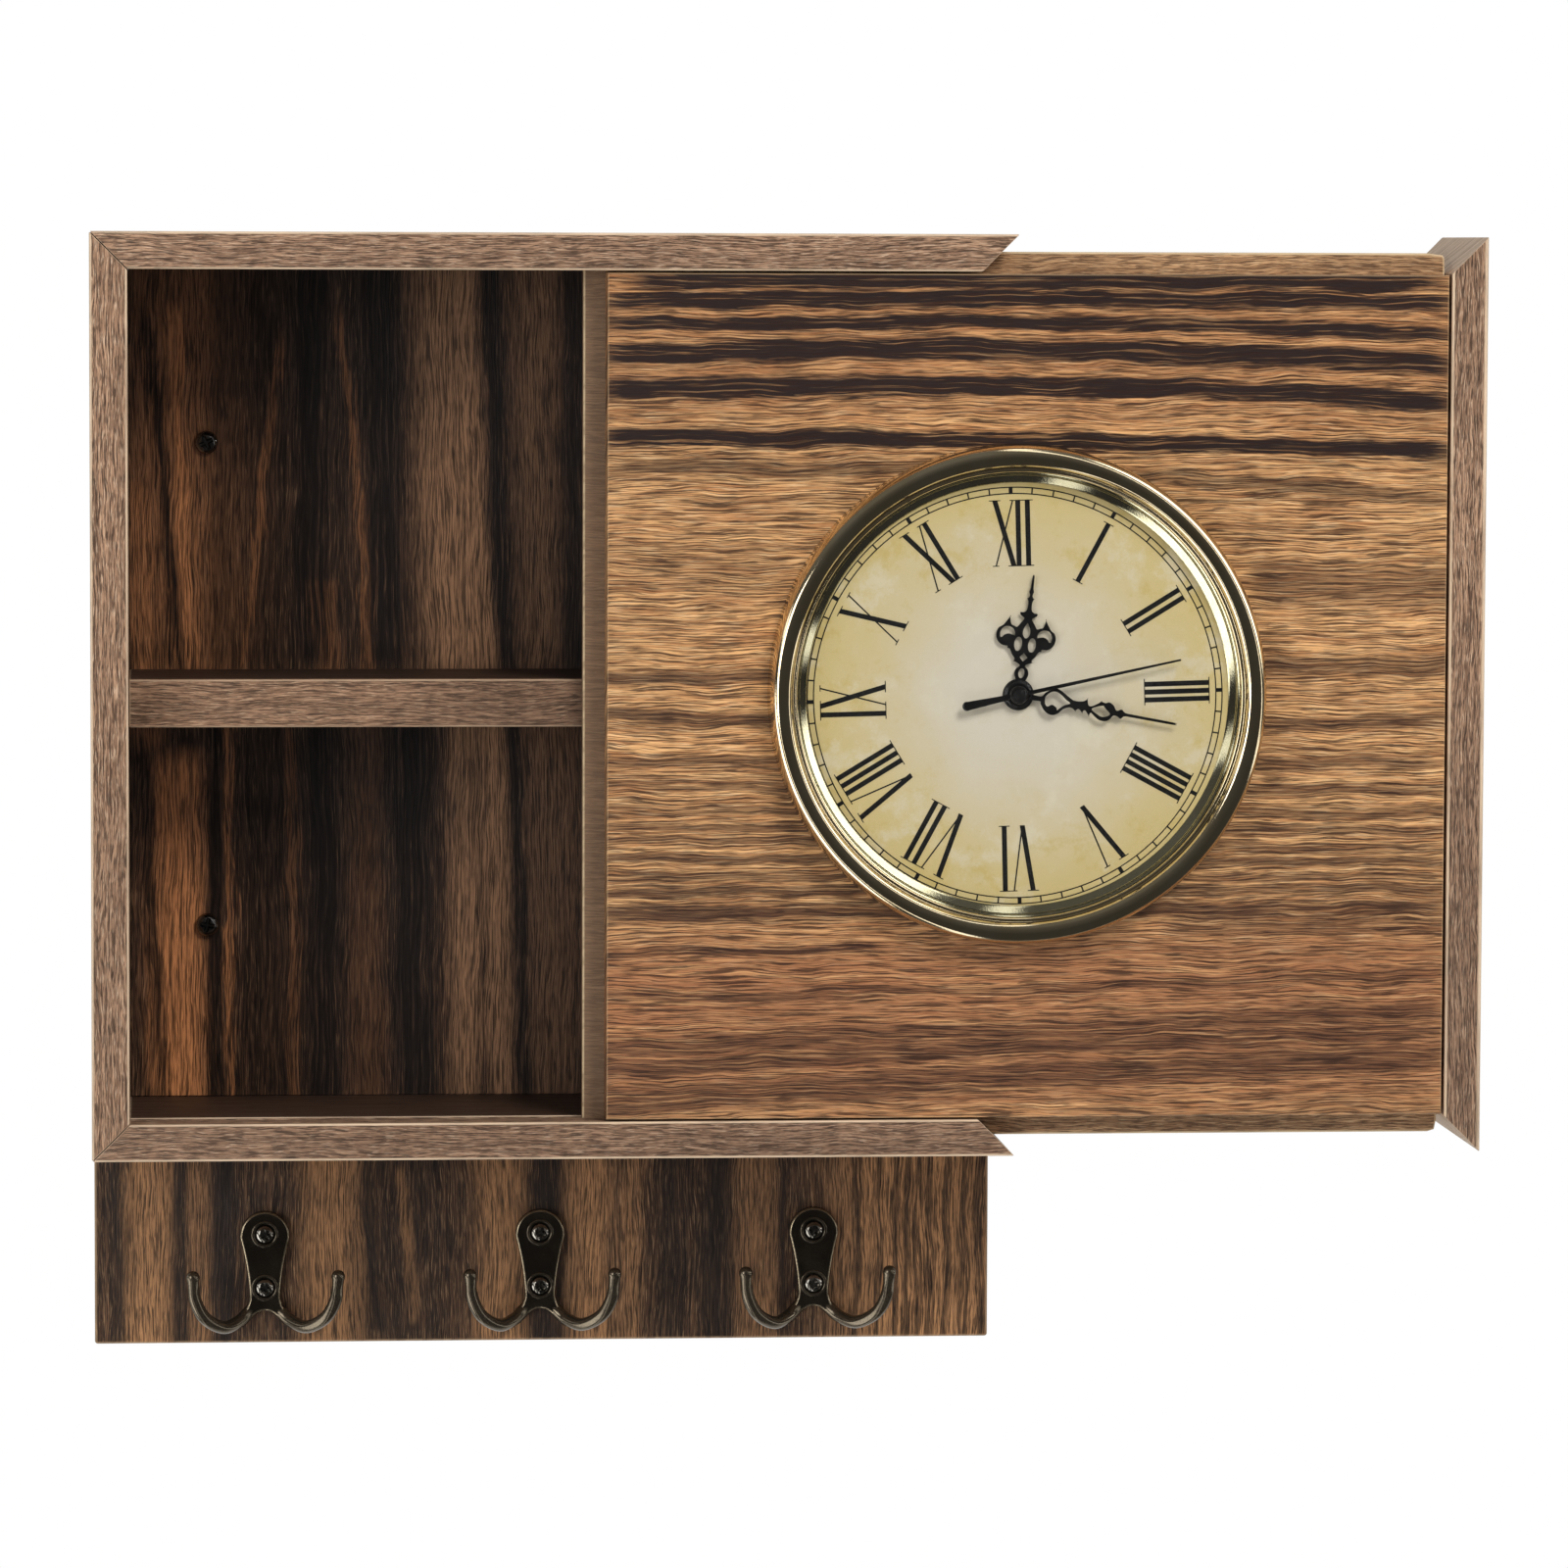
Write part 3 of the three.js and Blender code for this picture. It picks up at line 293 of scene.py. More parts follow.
class Nodes:
    """Short ways to add nodes to a material or world. An input is a socket or a plain value, a result is a
    socket, and a tone is a socket or a screen colour."""

    def __init__(self, owner):
        self.owner = owner
        owner.use_nodes = True
        self.tree = owner.node_tree
        self.tree.nodes.clear()

    def put(self, kind, values=None, **settings):
        node = self.tree.nodes.new(kind)
        for key, value in settings.items():
            setattr(node, key, value)
        for key, value in (values or {}).items():
            if isinstance(value, bpy.types.NodeSocket):
                self.tree.links.new(value, node.inputs[key])
            else:
                node.inputs[key].default_value = value
        return node

    def finish(self, **values):
        """The surface shader and the output. The shader's inputs are named with _ for a space."""
        surface = self.put("ShaderNodeBsdfPrincipled",
                           {key.replace("_", " "): v for key, v in values.items()})
        self.put("ShaderNodeOutputMaterial", {0: surface.outputs[0]})
        return self.owner

    def either(self, share, first, second):
        """The first shader, with a share of the second."""
        return self.put("ShaderNodeMixShader", {0: share, 1: first, 2: second}).outputs[0]

    def math(self, operation, *values):
        return self.put("ShaderNodeMath", dict(enumerate(values)), operation=operation).outputs[0]

    def add(self, *values):
        total = values[0]
        for value in values[1:]:
            total = self.math("ADD", total, value)
        return total

    def times(self, a, b):
        return self.math("MULTIPLY", a, b)

    def higher(self, a, b):
        return self.math("MAXIMUM", a, b)

    def centred(self, value, reach):
        """A value from 0 to 1 as one from -reach to reach."""
        return self.math("MULTIPLY_ADD", value, 2 * reach, -reach)

    def ramp(self, value, low, high, out_low=0.0, out_high=1.0, shape="SMOOTHSTEP"):
        values = {"Value": value, "From Min": low, "From Max": high, "To Min": out_low, "To Max": out_high}
        return self.put("ShaderNodeMapRange", values, interpolation_type=shape).outputs[0]

    def mix(self, share, first, second, blend="MIX"):
        """The first tone, with a share of the second in it."""
        tones = [colour(*tone) if isinstance(tone, tuple) else tone for tone in (first, second)]
        values = {0: share, 6: tones[0], 7: tones[1]}
        return self.put("ShaderNodeMix", values, data_type="RGBA", blend_type=blend).outputs[2]

    def spot(self):
        """The point in the object's frame, in millimetres."""
        here = self.put("ShaderNodeTexCoord").outputs["Object"]
        return self.put("ShaderNodeVectorMath", {0: here, 3: 1000.0}, operation="SCALE").outputs[0]

    def apart(self, vector):
        return self.put("ShaderNodeSeparateXYZ", {0: vector}).outputs[:]

    def noise(self, vector, scale=1.0, detail=2.0, rough=0.5):
        values = {"Vector": vector, "Scale": scale, "Detail": detail, "Roughness": rough}
        return self.put("ShaderNodeTexNoise", values).outputs[0]

    def field(self, a, c, per_a, per_c, seed, detail=2.0, rough=0.5):
        """Noise that is per_a cells to a millimetre along the grain, and per_c across it."""
        cell = self.put("ShaderNodeCombineXYZ", {0: self.times(a, per_a), 1: self.times(c, per_c), 2: seed})
        return self.noise(cell.outputs[0], 1.0, detail, rough)

    def wear_and_highlight(self):
        """1 on an arris, 0 elsewhere: where the paler tone for wear and painted highlight goes."""
        return self.put("ShaderNodeAttribute", attribute_name="arris").outputs["Fac"]

    def bump(self, height, distance, strength):
        values = {"Height": height, "Distance": distance, "Strength": strength}
        return self.put("ShaderNodeBump", values).outputs[0]

    def streaks(self, a, c, table, edge, gain, soft):
        """Mask of streaks along the grain, listed by their span (start, end). With u running from 0 to 1
        along it, a streak's centre is the parabola through its three places; `edge` is how far its ragged
        edge lies from that, in millimetres, and `soft` the share of the half width over which it fades, on
        both sides."""
        mask = 0.0
        for (start, end), rows in table.items():
            u = self.math("MULTIPLY_ADD", a, 1 / (end - start), -start / (end - start))
            inside = self.ramp(self.math("ABSOLUTE", self.math("SUBTRACT", u, 0.5)), 0.44, 0.54, 1.0, 0.0)
            for first, middle, last, half, strength in rows:
                bend = 2 * (first + last) - 4 * middle
                slope = last - first - bend
                centre = self.math("MULTIPLY_ADD", u, self.math("MULTIPLY_ADD", u, bend, slope), first)
                away = self.add(self.math("ABSOLUTE", self.math("SUBTRACT", c, centre)), edge)
                body = self.ramp(away, half * (1 - soft), half * (1 + soft) + 0.2, strength * gain, 0.0)
                mask = self.higher(mask, self.times(body, inside))
        return mask


def surface(name):
    """The nodes of a new material."""
    return Nodes(bpy.data.materials.new(name))


def wood(name, along, across, light, dark, line, fleck, worn_and_lit, seed, rings=0.4, dashes=0.75, flecks=0.4,
         sway=6.0, ripple=0.75, ragged=1.2, wear_and_highlight=0.6, coat=0.0, face=0.0, dash_length=9.0, shade=None,
         shaded=None, marks=()):
    """Wood with its grain along one axis; `across` gives the weights of x, y and z in the place across the
    grain, and marks are placed across the grain as measured on the face at y = `face`.
    The grain sways by slow noise, and fibres mix the two tones. Over them come growth rings, pale flecks,
    marks split by fine lines, cloudy blotches, short dark dashes, the mask `shade` (painted shade on the
    frame's boards and the shelf, and a greyer strip on the running board) and arrises made lighter, partly
    as wear and partly as painted highlight."""
    n = surface(name)
    spot = n.apart(n.spot())
    a = spot[along]
    c = n.add(*[n.times(s, w) for s, w in zip(spot, across) if w], -across[1] * face)
    c1 = n.add(c, n.centred(n.field(a, c, 0.011, 0.02, seed), sway / 2))
    quick = n.centred(n.field(a, c, 0.04, 0.1, seed + 3), 2 * ripple)
    c2 = n.add(c1, quick)
    fibre = n.ramp(n.field(a, c2, 0.03, 0.9, seed + 7, 4, 0.6), 0.36, 0.64)
    hair = n.ramp(n.field(a, c2, 0.09, 4.2, seed + 11), 0.32, 0.68)
    tone = n.add(n.times(fibre, 0.65), n.times(hair, 0.35))
    ring = n.ramp(n.field(a, c2, 0.004, 0.3, seed + 13, 4, 0.6), 0.47, 0.63, 0.0, rings)
    speck = n.ramp(n.field(a, c2, 1.8 / dash_length, 2.9, seed + 29), 0.54, 0.64, 0.0, flecks)
    paint = n.mix(speck, n.mix(ring, n.mix(tone, dark, light), line), fleck)
    edge = n.centred(n.field(a, c2, 0.055, 1.1, seed + 17, 3, 0.65), 2 * ragged)
    split = n.ramp(n.field(a, c2, 0.02, 1.15, seed + 37, 3, 0.6), 0.38, 0.5, 0.5, 1.0)
    grain = n.times(n.math("MULTIPLY_ADD", hair, 0.2, 0.9), split)
    for mark_colour, table, gain, soft in marks:
        paint = n.mix(n.times(n.streaks(a, n.add(c, quick), table, edge, gain, soft), grain),
                      paint, mark_colour)
    blotch = n.ramp(n.field(a, c, 0.012, 0.03, seed + 19, 3), 0.3, 0.7, 0.86, 1.1, "LINEAR")
    grey = n.put("ShaderNodeCombineColor", {0: blotch, 1: blotch, 2: blotch}).outputs[0]
    paint = n.mix(1.0, paint, grey, "MULTIPLY")
    dash = n.ramp(n.field(a, c2, 1 / dash_length, 2.2, seed + 23, 3, 0.6), 0.5, 0.58, 0.0, dashes)
    thin = n.ramp(n.field(a, c2, 2.2 / dash_length, 3.9, seed + 27, 1), 0.53, 0.6, 0.0, dashes * 0.8)
    paint = n.mix(thin, n.mix(dash, paint, line), line)
    # The shade mask paints shade on the frame's boards and the shelf in the line tone; on the running board
    # it gives a greyer strip.
    if shade:
        paint = n.mix(shade(n, *spot), paint, shaded or line)
    # Arrises lighter: partly wear, partly a painted highlight along the edges.
    rub_and_highlight = n.times(n.wear_and_highlight(), n.ramp(n.field(a, c, 0.03, 0.4, seed + 31, 3), 0.3, 0.6, wear_and_highlight * 0.5, wear_and_highlight))
    height = n.add(n.times(hair, 0.5), n.times(fibre, 0.4), n.times(dash, -0.9))
    return n.finish(Base_Color=n.mix(rub_and_highlight, paint, worn_and_lit), Roughness=n.ramp(tone, 0, 1, 0.68, 0.5),
                    Normal=n.bump(height, 0.00012, 0.6), Specular_IOR_Level=0.35, Coat_Weight=coat,
                    Coat_Roughness=0.3)


def metal(name, base, worn_and_lit, rough, wear_and_highlight=0.7, metallic=1.0, speckle=0.25):
    """Metal whose roughness and tone change in soft patches, with its arrises brighter, partly as wear and
    partly as painted highlight.
    """
    n = surface(name)
    spot = n.spot()
    patch = n.ramp(n.noise(spot, 0.108, 4, 0.6), 0.35, 0.7)
    grit = n.noise(spot, 1.98, 3, 0.6)
    paint = n.mix(n.times(patch, speckle), base, worn_and_lit)
    # Arrises brighter: partly wear, partly a painted highlight.
    paint = n.mix(n.times(n.wear_and_highlight(), n.ramp(grit, 0.3, 0.6, wear_and_highlight * 0.4, wear_and_highlight)), paint, worn_and_lit)
    roughness = n.ramp(n.add(n.times(patch, 0.6), n.times(grit, 0.4)), 0.2, 0.8, *rough)
    return n.finish(Base_Color=paint, Roughness=roughness, Metallic=metallic,
                    Normal=n.bump(grit, 0.00003, 0.4))


def moulded(name, base, worn_and_lit, rough):
    """Moulded plastic, rubber or paint: a fine pebbled surface with faint cloudy tone."""
    n = surface(name)
    spot = n.spot()
    cloud = n.ramp(n.noise(spot, 0.06, 3), 0.3, 0.7)
    pebble = n.noise(spot, 1.6)
    paint = n.mix(n.times(n.wear_and_highlight(), 0.5), n.mix(n.times(cloud, 0.35), base, worn_and_lit), worn_and_lit)
    return n.finish(Base_Color=paint, Roughness=n.ramp(pebble, 0.3, 0.7, rough - 0.08, rough + 0.08),
                    Normal=n.bump(pebble, 0.00005, 0.5))


# Streaks in millimetres, by their span along the grain: place across it at the span's start, middle and end,
# half width, strength
PANEL_BANDS = {
    (20, 251): [(117.0, 117.2, 116.7, 2.6, 1.0)],
    (10, 255): [
        (110.9, 112.0, 110.9, 2.2, 0.98), (104.0, 105.5, 101.8, 1.9, 0.92), (96.0, 97.6, 93.2, 2.8, 1.0),
        (86.0, 87.4, 83.5, 2.7, 1.0), (72.6, 72.2, 69.2, 2.3, 0.98), (64.2, 63.4, 55.7, 2.2, 0.48),
    ],
}
PANEL_LINES = {
    (195, 260): [(33.5, 31.6, 31.0, 6.1, 0.58)],
    (5, 66): [(36.2, 35.8, 35.8, 6.1, 0.23)],
    (5, 120): [(5.4, 6.0, 7.0, 1.9, 0.69)],
    (140, 258): [(7.6, 8.7, 8.7, 2.7, 0.69)],
    (5, 255): [
        (-3.7, -8.0, -6.7, 1.8, 0.79), (-17.8, -18.3, -18.6, 1.8, 0.63), (-24.7, -25.6, -26.7, 1.6, 0.63),
        (-31.1, -32.4, -33.6, 1.4, 0.63), (-35.8, -37.2, -38.5, 1.3, 0.63),
        (-39.9, -41.4, -42.7, 1.3, 0.63), (-44.9, -45.8, -46.8, 1.4, 0.63),
        (-50.1, -50.7, -51.2, 1.4, 0.63), (-54.3, -54.6, -54.8, 1.6, 0.69),
        (-60.4, -60.2, -60.1, 2.2, 0.79), (-84.9, -82.4, -78.6, 1.2, 0.58),
        (-98.7, -94.6, -88.8, 2.7, 0.58), (-105.6, -99.2, -95.2, 2.5, 0.63),
        (-115.3, -107.4, -102.1, 3.6, 0.63),
    ],
    (172, 258): [(-64.2, -64.5, -64.5, 2.9, 0.52)],
    (8, 92): [(-72.4, -71.7, -70.8, 0.9, 0.85)],
}
PANEL_REDDER = {(0, 262): [(-93.0, -92.0, -91.0, 27.0, 0.75)]}
PANEL_SMOKED = {(0, 262): [(101.0, 100.0, 97.0, 22.0, 0.6)]}
BACK_ORANGE = {
    (2, 112): [(-101.6, -104.6, -106.0, 2.6, 0.7)],
    (-20, 60): [(-114.0, -115.0, -117.0, 4.2, 0.4)],
    (-10, 124): [(-103.0, -104.0, -105.0, 15.0, 0.3)],
    (2, 100): [(-87.3, -81.8, -76.3, 0.9, 0.55)],
    (2, 30): [(-63.4, -63.6, -64.5, 3.4, 0.45)],
    (2, 108): [(-50.4, -53.1, -59.6, 1.1, 0.55)],
    (-124, -20): [(-105.0, -105.4, -106.0, 7.2, 0.95)],
    (-124, -6): [(-91.0, -91.1, -91.4, 0.9, 0.7), (-50.9, -51.6, -52.0, 4.4, 0.2)],
    (-124, -8): [(-72.4, -72.5, -74.0, 1.2, 0.45)],
}
BACK_OLIVE = {
    (2, 124): [
        (-24.0, -27.0, -29.0, 8.6, 0.75), (-17.6, -21.6, -24.4, 4.2, 0.85), (-1.6, -2.0, -2.4, 5.6, 0.45),
    ],
    (-124, -6): [
        (-22.0, -22.5, -23.0, 4.2, 0.8), (-11.6, -13.2, -15.0, 3.8, 0.95), (2.6, 2.4, 2.0, 7.4, 0.4),
    ],
}
BACK_DARK = {
    (2, 108): [(-104.9, -109.5, -114.6, 1.6, 0.85)],
    (-124, -18): [(-108.6, -113.2, -115.2, 1.3, 0.8)],
    (2, 124): [
        (-93.4, -92.4, -91.0, 3.6, 0.5), (-67.5, -67.3, -67.0, 5.4, 0.9), (-70.0, -69.0, -68.0, 24.0, 0.45),
        (-45.5, -46.6, -48.0, 5.6, 0.9), (-10.8, -13.8, -16.2, 2.2, 0.9), (8.4, 8.6, 9.0, 3.0, 0.7),
    ],
    (-124, -6): [
        (-95.0, -95.0, -95.2, 2.0, 0.85), (-63.5, -63.6, -64.0, 5.2, 0.9),
        (-64.0, -64.0, -64.0, 24.0, 0.55), (-37.4, -38.0, -38.6, 6.6, 0.9), (-5.6, -7.2, -9.2, 1.6, 0.8),
    ],
}
HOOK_BOARD_TAN = {
    (-194, -128): [
        (-114.0, -114.4, -114.8, 7.0, 0.8), (-99.6, -99.8, -100.4, 3.4, 0.5),
        (-61.5, -60.8, -60.4, 8.6, 0.8), (-12.0, -12.2, -12.6, 6.8, 0.75), (13.4, 13.2, 13.0, 6.6, 0.75),
        (25.0, 25.6, 26.2, 3.2, 0.45), (62.5, 62.2, 62.0, 6.0, 0.45), (109.0, 109.0, 109.0, 21.0, 1.0),
    ],
    (-186, -140): [(-37.2, -39.4, -42.2, 1.2, 0.75)],
}
HOOK_BOARD_DARK = {
    (-194, -128): [
        (-123.6, -123.7, -123.9, 1.2, 0.85), (-105.4, -105.5, -105.6, 1.7, 0.8),
        (-92.4, -92.6, -93.0, 3.2, 0.85), (-42.0, -42.0, -42.0, 13.0, 0.45), (1.0, 1.0, 1.2, 4.6, 0.85),
        (38.0, 38.4, 38.6, 4.0, 0.6), (50.6, 50.8, 51.0, 4.2, 0.8), (69.8, 69.8, 69.9, 1.1, 0.8),
        *[(x, x + 0.3, x + 0.2, 0.9, 0.75)
          for x in (91.1, 97.5, 102.9, 106.1, 109.3, 112.5, 117.5, 122.9, 127.5)],
    ],
    (-190, -132): [(-47.6, -50.4, -51.6, 1.7, 0.85)],
}

ACROSS_X = (1.0, 0.7, 0.0)
ACROSS_Z = (0.0, 0.7, 1.0)
# The pale edge tone here goes on the boards' arrises: partly wear, partly painted highlight.
TAUPE = dict(light=(200, 159, 127), dark=(132, 100, 78), line=(54, 38, 29), fleck=(234, 204, 174),
             worn_and_lit=(236, 208, 176), rings=0.2, dashes=0.74, flecks=0.5, coat=0.05, wear_and_highlight=1.0, dash_length=8.0)


def painted_shade_inside(n, x, y, z):
    """Painted shade behind the grooves of the top and bottom boards, on the bays' shadowed ceiling and floor;
    the bottom board is also a little darker all over.
    """
    inside = n.times(n.ramp(y, -64.0, -57.0, 0.0, 0.95),
                     n.ramp(n.math("ABSOLUTE", z), 119.6, 120.2, 1.0, 0.0))
    return n.higher(inside, n.ramp(z, -119.0, -120.2, 0.0, 0.3))


def painted_shade_shelf(n, x, y, z):
    """Painted shade on the shelf's top and rear, behind its front face, where it lies in shadow; the shelf is
    also darker towards its right end.
    """
    return n.higher(n.ramp(y, -59.0, -54.0, 0.0, 0.95), n.ramp(x, -52.0, -12.0, 0.0, 0.34))


def painted_shade_end_foot(n, x, y, z):
    """Painted shade: the end board darker towards its foot, where less light falls."""
    return n.times(n.ramp(z, 30.0, -90.0, 0.0, 0.26), n.ramp(x, 0.0, 10.0))


def left_margin(n, x, y, z):
    """The greyer strip of board that shows left of the panel."""
    return n.ramp(x, 13.8, 14.6, 0.75, 0.0)


frame_wood_flat = wood("frame_wood_flat", 0, ACROSS_Z, seed=1.0, shade=painted_shade_inside, **TAUPE)
frame_wood_upright = wood("frame_wood_upright", 2, ACROSS_X, seed=5.0, shade=painted_shade_end_foot, **TAUPE)
shelf_wood = wood("shelf_wood", 0, ACROSS_Z, (180, 140, 110), (124, 94, 72), (46, 33, 26), (208, 176, 144),
                  (206, 176, 146), seed=9.0, rings=0.25, dashes=0.66, flecks=0.5, wear_and_highlight=0.8,
                  shade=painted_shade_shelf, dash_length=8.0)
back_wood = wood("back_wood", 2, ACROSS_X, (96, 66, 48), (50, 35, 26), (15, 11, 9), (160, 122, 90),
                 (120, 92, 64), seed=13.0, flecks=0.42, dashes=0.7, ragged=3.0, face=-8.0, dash_length=15.0,
                 marks=[((206, 136, 86), BACK_ORANGE, 1.0, 0.7), ((170, 126, 92), BACK_OLIVE, 1.05, 0.7),
                        ((24, 17, 14), BACK_DARK, 1.1, 0.6)])
hook_board_wood = wood("hook_board_wood", 2, ACROSS_X, (114, 80, 54), (60, 41, 29), (20, 14, 11),
                       (190, 150, 110), (200, 166, 128), seed=17.0, flecks=0.5, dashes=0.7, ragged=2.4,
                       face=-8.0, dash_length=12.0,
                       marks=[((202, 148, 100), HOOK_BOARD_TAN, 1.05, 0.7),
                              ((30, 21, 17), HOOK_BOARD_DARK, 1.0, 0.7)])
panel_wood = wood("panel_wood", 0, ACROSS_Z, (255, 198, 134), (188, 128, 80), (48, 27, 19), (250, 212, 162),
                  (222, 186, 142), seed=21.0, rings=0.3, flecks=0.58, dashes=0.82, sway=4.0, ripple=0.95,
                  ragged=1.5, wear_and_highlight=0.35, coat=0.05, face=CASE_FRONT, dash_length=19.0,
                  marks=[((166, 106, 70), PANEL_REDDER, 1.0, 0.5), ((156, 98, 60), PANEL_SMOKED, 0.85, 0.6),
                         ((70, 43, 32), PANEL_LINES, 1.08, 0.55), ((40, 29, 26), PANEL_BANDS, 1.35, 0.45)])
backing_wood = wood("backing_wood", 0, ACROSS_Z, (208, 166, 122), (156, 118, 84), (84, 60, 43),
                    (226, 196, 156), (226, 200, 160), seed=25.0, rings=0.35, shade=left_margin,
                    shaded=(130, 104, 82), wear_and_highlight=1.0)
dowel_wood = wood("dowel_wood", 2, ACROSS_X, (212, 182, 136), (186, 152, 108), (150, 116, 80),
                  (228, 204, 164), (228, 204, 164), seed=33.0)
# A metal's paler second tone shows in patches and on its arrises; on the arrises it is partly wear, partly
# painted highlight.
gold = metal("polished_gold", (228, 208, 168), (244, 232, 202), (0.03, 0.07), speckle=0.35)
pale_gold = metal("pale_gold", (192, 184, 150), (222, 216, 186), (0.04, 0.09), speckle=0.3)
bronze = metal("antique_bronze", (60, 54, 46), (206, 188, 156), (0.14, 0.24), wear_and_highlight=0.5, metallic=0.8,
               speckle=0.04)
darkened_steel = metal("darkened_steel", (112, 108, 100), (210, 204, 194), (0.1, 0.2), wear_and_highlight=0.3)
screw_steel = metal("screw_steel", (132, 130, 124), (216, 214, 206), (0.2, 0.34))
black_steel = metal("black_steel", (92, 90, 88), (180, 178, 174), (0.16, 0.3))
brass = metal("wheel_brass", (196, 160, 92), (226, 198, 132), (0.25, 0.42))
copper = metal("coil_copper", (190, 110, 70), (222, 150, 104), (0.3, 0.45))
hand_black = metal("hand_black", (15, 14, 14), (44, 42, 40), (0.3, 0.42), metallic=0.0)
print_black = moulded("dial_print", (10, 10, 9), (22, 20, 18), 0.7)
black_plastic = moulded("black_plastic", (34, 34, 36), (58, 58, 60), 0.5)
rubber = moulded("black_rubber", (28, 28, 28), (52, 50, 48), 0.8)
can_label = moulded("cell_can", (46, 74, 52), (92, 116, 84), 0.35)


def dial_paper():
    """Aged dial: grey-cream in the middle and yellower to the rim, with cloudy stains and a faint tooth."""
    n = surface("dial_face")
    spot = n.spot()
    x, _, z = n.apart(spot)
    off, up = n.math("SUBTRACT", x, CLOCK_X), n.math("SUBTRACT", z, CLOCK_Z)
    radius = n.math("SQRT", n.add(n.times(off, off), n.times(up, up)))
    cloud = n.noise(spot, 0.035, 5, 0.6)
    aged = n.ramp(n.math("MULTIPLY_ADD", cloud, 34.0, radius), 26.0, 78.0)
    stain = n.ramp(n.noise(spot, 0.09, 6, 0.7), 0.5, 0.66, 0.0, 0.5)
    bleached = n.ramp(n.noise(spot, 0.07, 6, 0.7), 0.48, 0.34, 0.0, 0.45)
    tooth = n.noise(spot, 3.0)
    paint = n.mix(aged, (212, 203, 184), (204, 184, 126))
    paint = n.mix(n.times(stain, n.ramp(radius, 24.0, 44.0, 0.2, 1.0)), paint, (192, 166, 84))
    paint = n.mix(bleached, paint, (218, 210, 186))
    paint = n.mix(n.ramp(tooth, 0.3, 0.7, 0.0, 0.08), paint, (150, 130, 96))
    return n.finish(Base_Color=paint, Roughness=n.ramp(tooth, 0.3, 0.7, 0.5, 0.62),
                    Normal=n.bump(tooth, 0.00003, 0.5))


def window_glass():
    """Clear glass; only rays from the camera meet it, and others pass straight on, so that the dial is
    lit."""
    n = surface("clear_glass")
    smear = n.ramp(n.noise(n.spot(), 0.05, 4, 0.6), 0.3, 0.7, 0.0, 0.03)
    clear = n.put("ShaderNodeBsdfGlass", {"Color": (0.985, 0.99, 0.985, 1), "Roughness": smear, "IOR": 1.45})
    passed = n.put("ShaderNodeBsdfTransparent").outputs[0]
    rays = n.put("ShaderNodeLightPath").outputs
    passing = n.higher(n.higher(rays["Is Shadow Ray"], rays["Is Diffuse Ray"]), rays["Is Glossy Ray"])
    n.put("ShaderNodeOutputMaterial", {0: n.either(passing, clear.outputs[0], passed)})
    return n.owner


dial_face = dial_paper()
glass = window_glass()


# Cabinet

for side, place, body, grain in (
    ("top", lambda a, y, d: (a, y, CASE_HALF - d), "cabinet", frame_wood_flat),
    ("bottom", lambda a, y, d: (a, y, d - CASE_HALF), "cabinet", frame_wood_flat),
    ("left", lambda a, y, d: (d - CASE_HALF, y, a), "cabinet", frame_wood_upright),
    ("end", lambda a, y, d: (TRAVEL + CASE_HALF - d, y, a), "slider", frame_wood_upright),
):
    board = mitred_board(place, grooved=body == "cabinet")
    piece(f"{side}_frame_board", board, grain, body, [f"{side}_board"])
piece("middle_shelf", slab(x=(-119.45, 119.45), y=(-59.4, -8.3), z=(-9.15, 4.35), radius=0.6),
      shelf_wood, "cabinet", ["shelf"])
piece("lower_hook_board", slab(x=(-CASE_HALF, CASE_HALF), y=(-8, 0), z=(-191.5, -130.3), radius=0.8),
      hook_board_wood, "cabinet", ["hook_board"])

seam_length, seam_depth = (-119.49, 119.49), (-7.6, -0.4)
seam_widths = [(side - 0.2, side + 0.2) for side in (-119.29, 119.29)]
seams = [slab(seam_length, seam_depth, width, 0.05, 1) for width in seam_widths]
seams += [slab(width, seam_depth, seam_length, 0.05, 1) for width in seam_widths]
piece("back_panel_seams", seams, back_wood, "cabinet")


def screw_head(x, z, seat, radius, height, turn=0.0, recess=1.0):
    """A pan head: its height falls with the fourth power of the radius, less a cross recess whose arms narrow
    with depth."""
    share = np.concatenate([np.linspace(0, 1, 25)[1:], [1.0]])[:, None]
    angle = circle(96)
    across = share * radius * np.cos(angle + turn)
    up = share * radius * np.sin(angle + turn)
    dome = height * (1 - 0.55 * share ** 4)
    reach = radius * 0.62

    def arm(along, side):
        return np.clip((reach - abs(along)) / 0.3, 0, 1) * np.clip((0.62 - abs(side)) / 0.34, 0, 1)

    cut = np.maximum(arm(across, up), arm(up, across)) * recess
    front = seat - dome + cut
    front[-1] = seat
    grid = np.stack(np.broadcast_arrays(x + share * radius * np.cos(angle), front,
                                        z + share * radius * np.sin(angle)), -1)
    tip = np.array([[x, seat - height + recess, z], [x, seat, z]])
    rows, cols = front.shape
    top = rows * cols
    ring = np.arange(cols)
    fan = np.stack([np.full(cols, top), np.roll(ring, -1), ring], -1)
    under = np.stack([np.full(cols, top + 1), ring + top - cols, np.roll(ring, -1) + top - cols], -1)
    # The head's rim takes the paler tone: partly wear, partly a painted highlight.
    arris = np.concatenate([np.broadcast_to((share > 0.78) & (share < 1), (rows, cols)).ravel(), [0, 0]])
    return shell(np.concatenate([grid.reshape(-1, 3), tip]), [band(rows, cols), fan, under], True, arris)


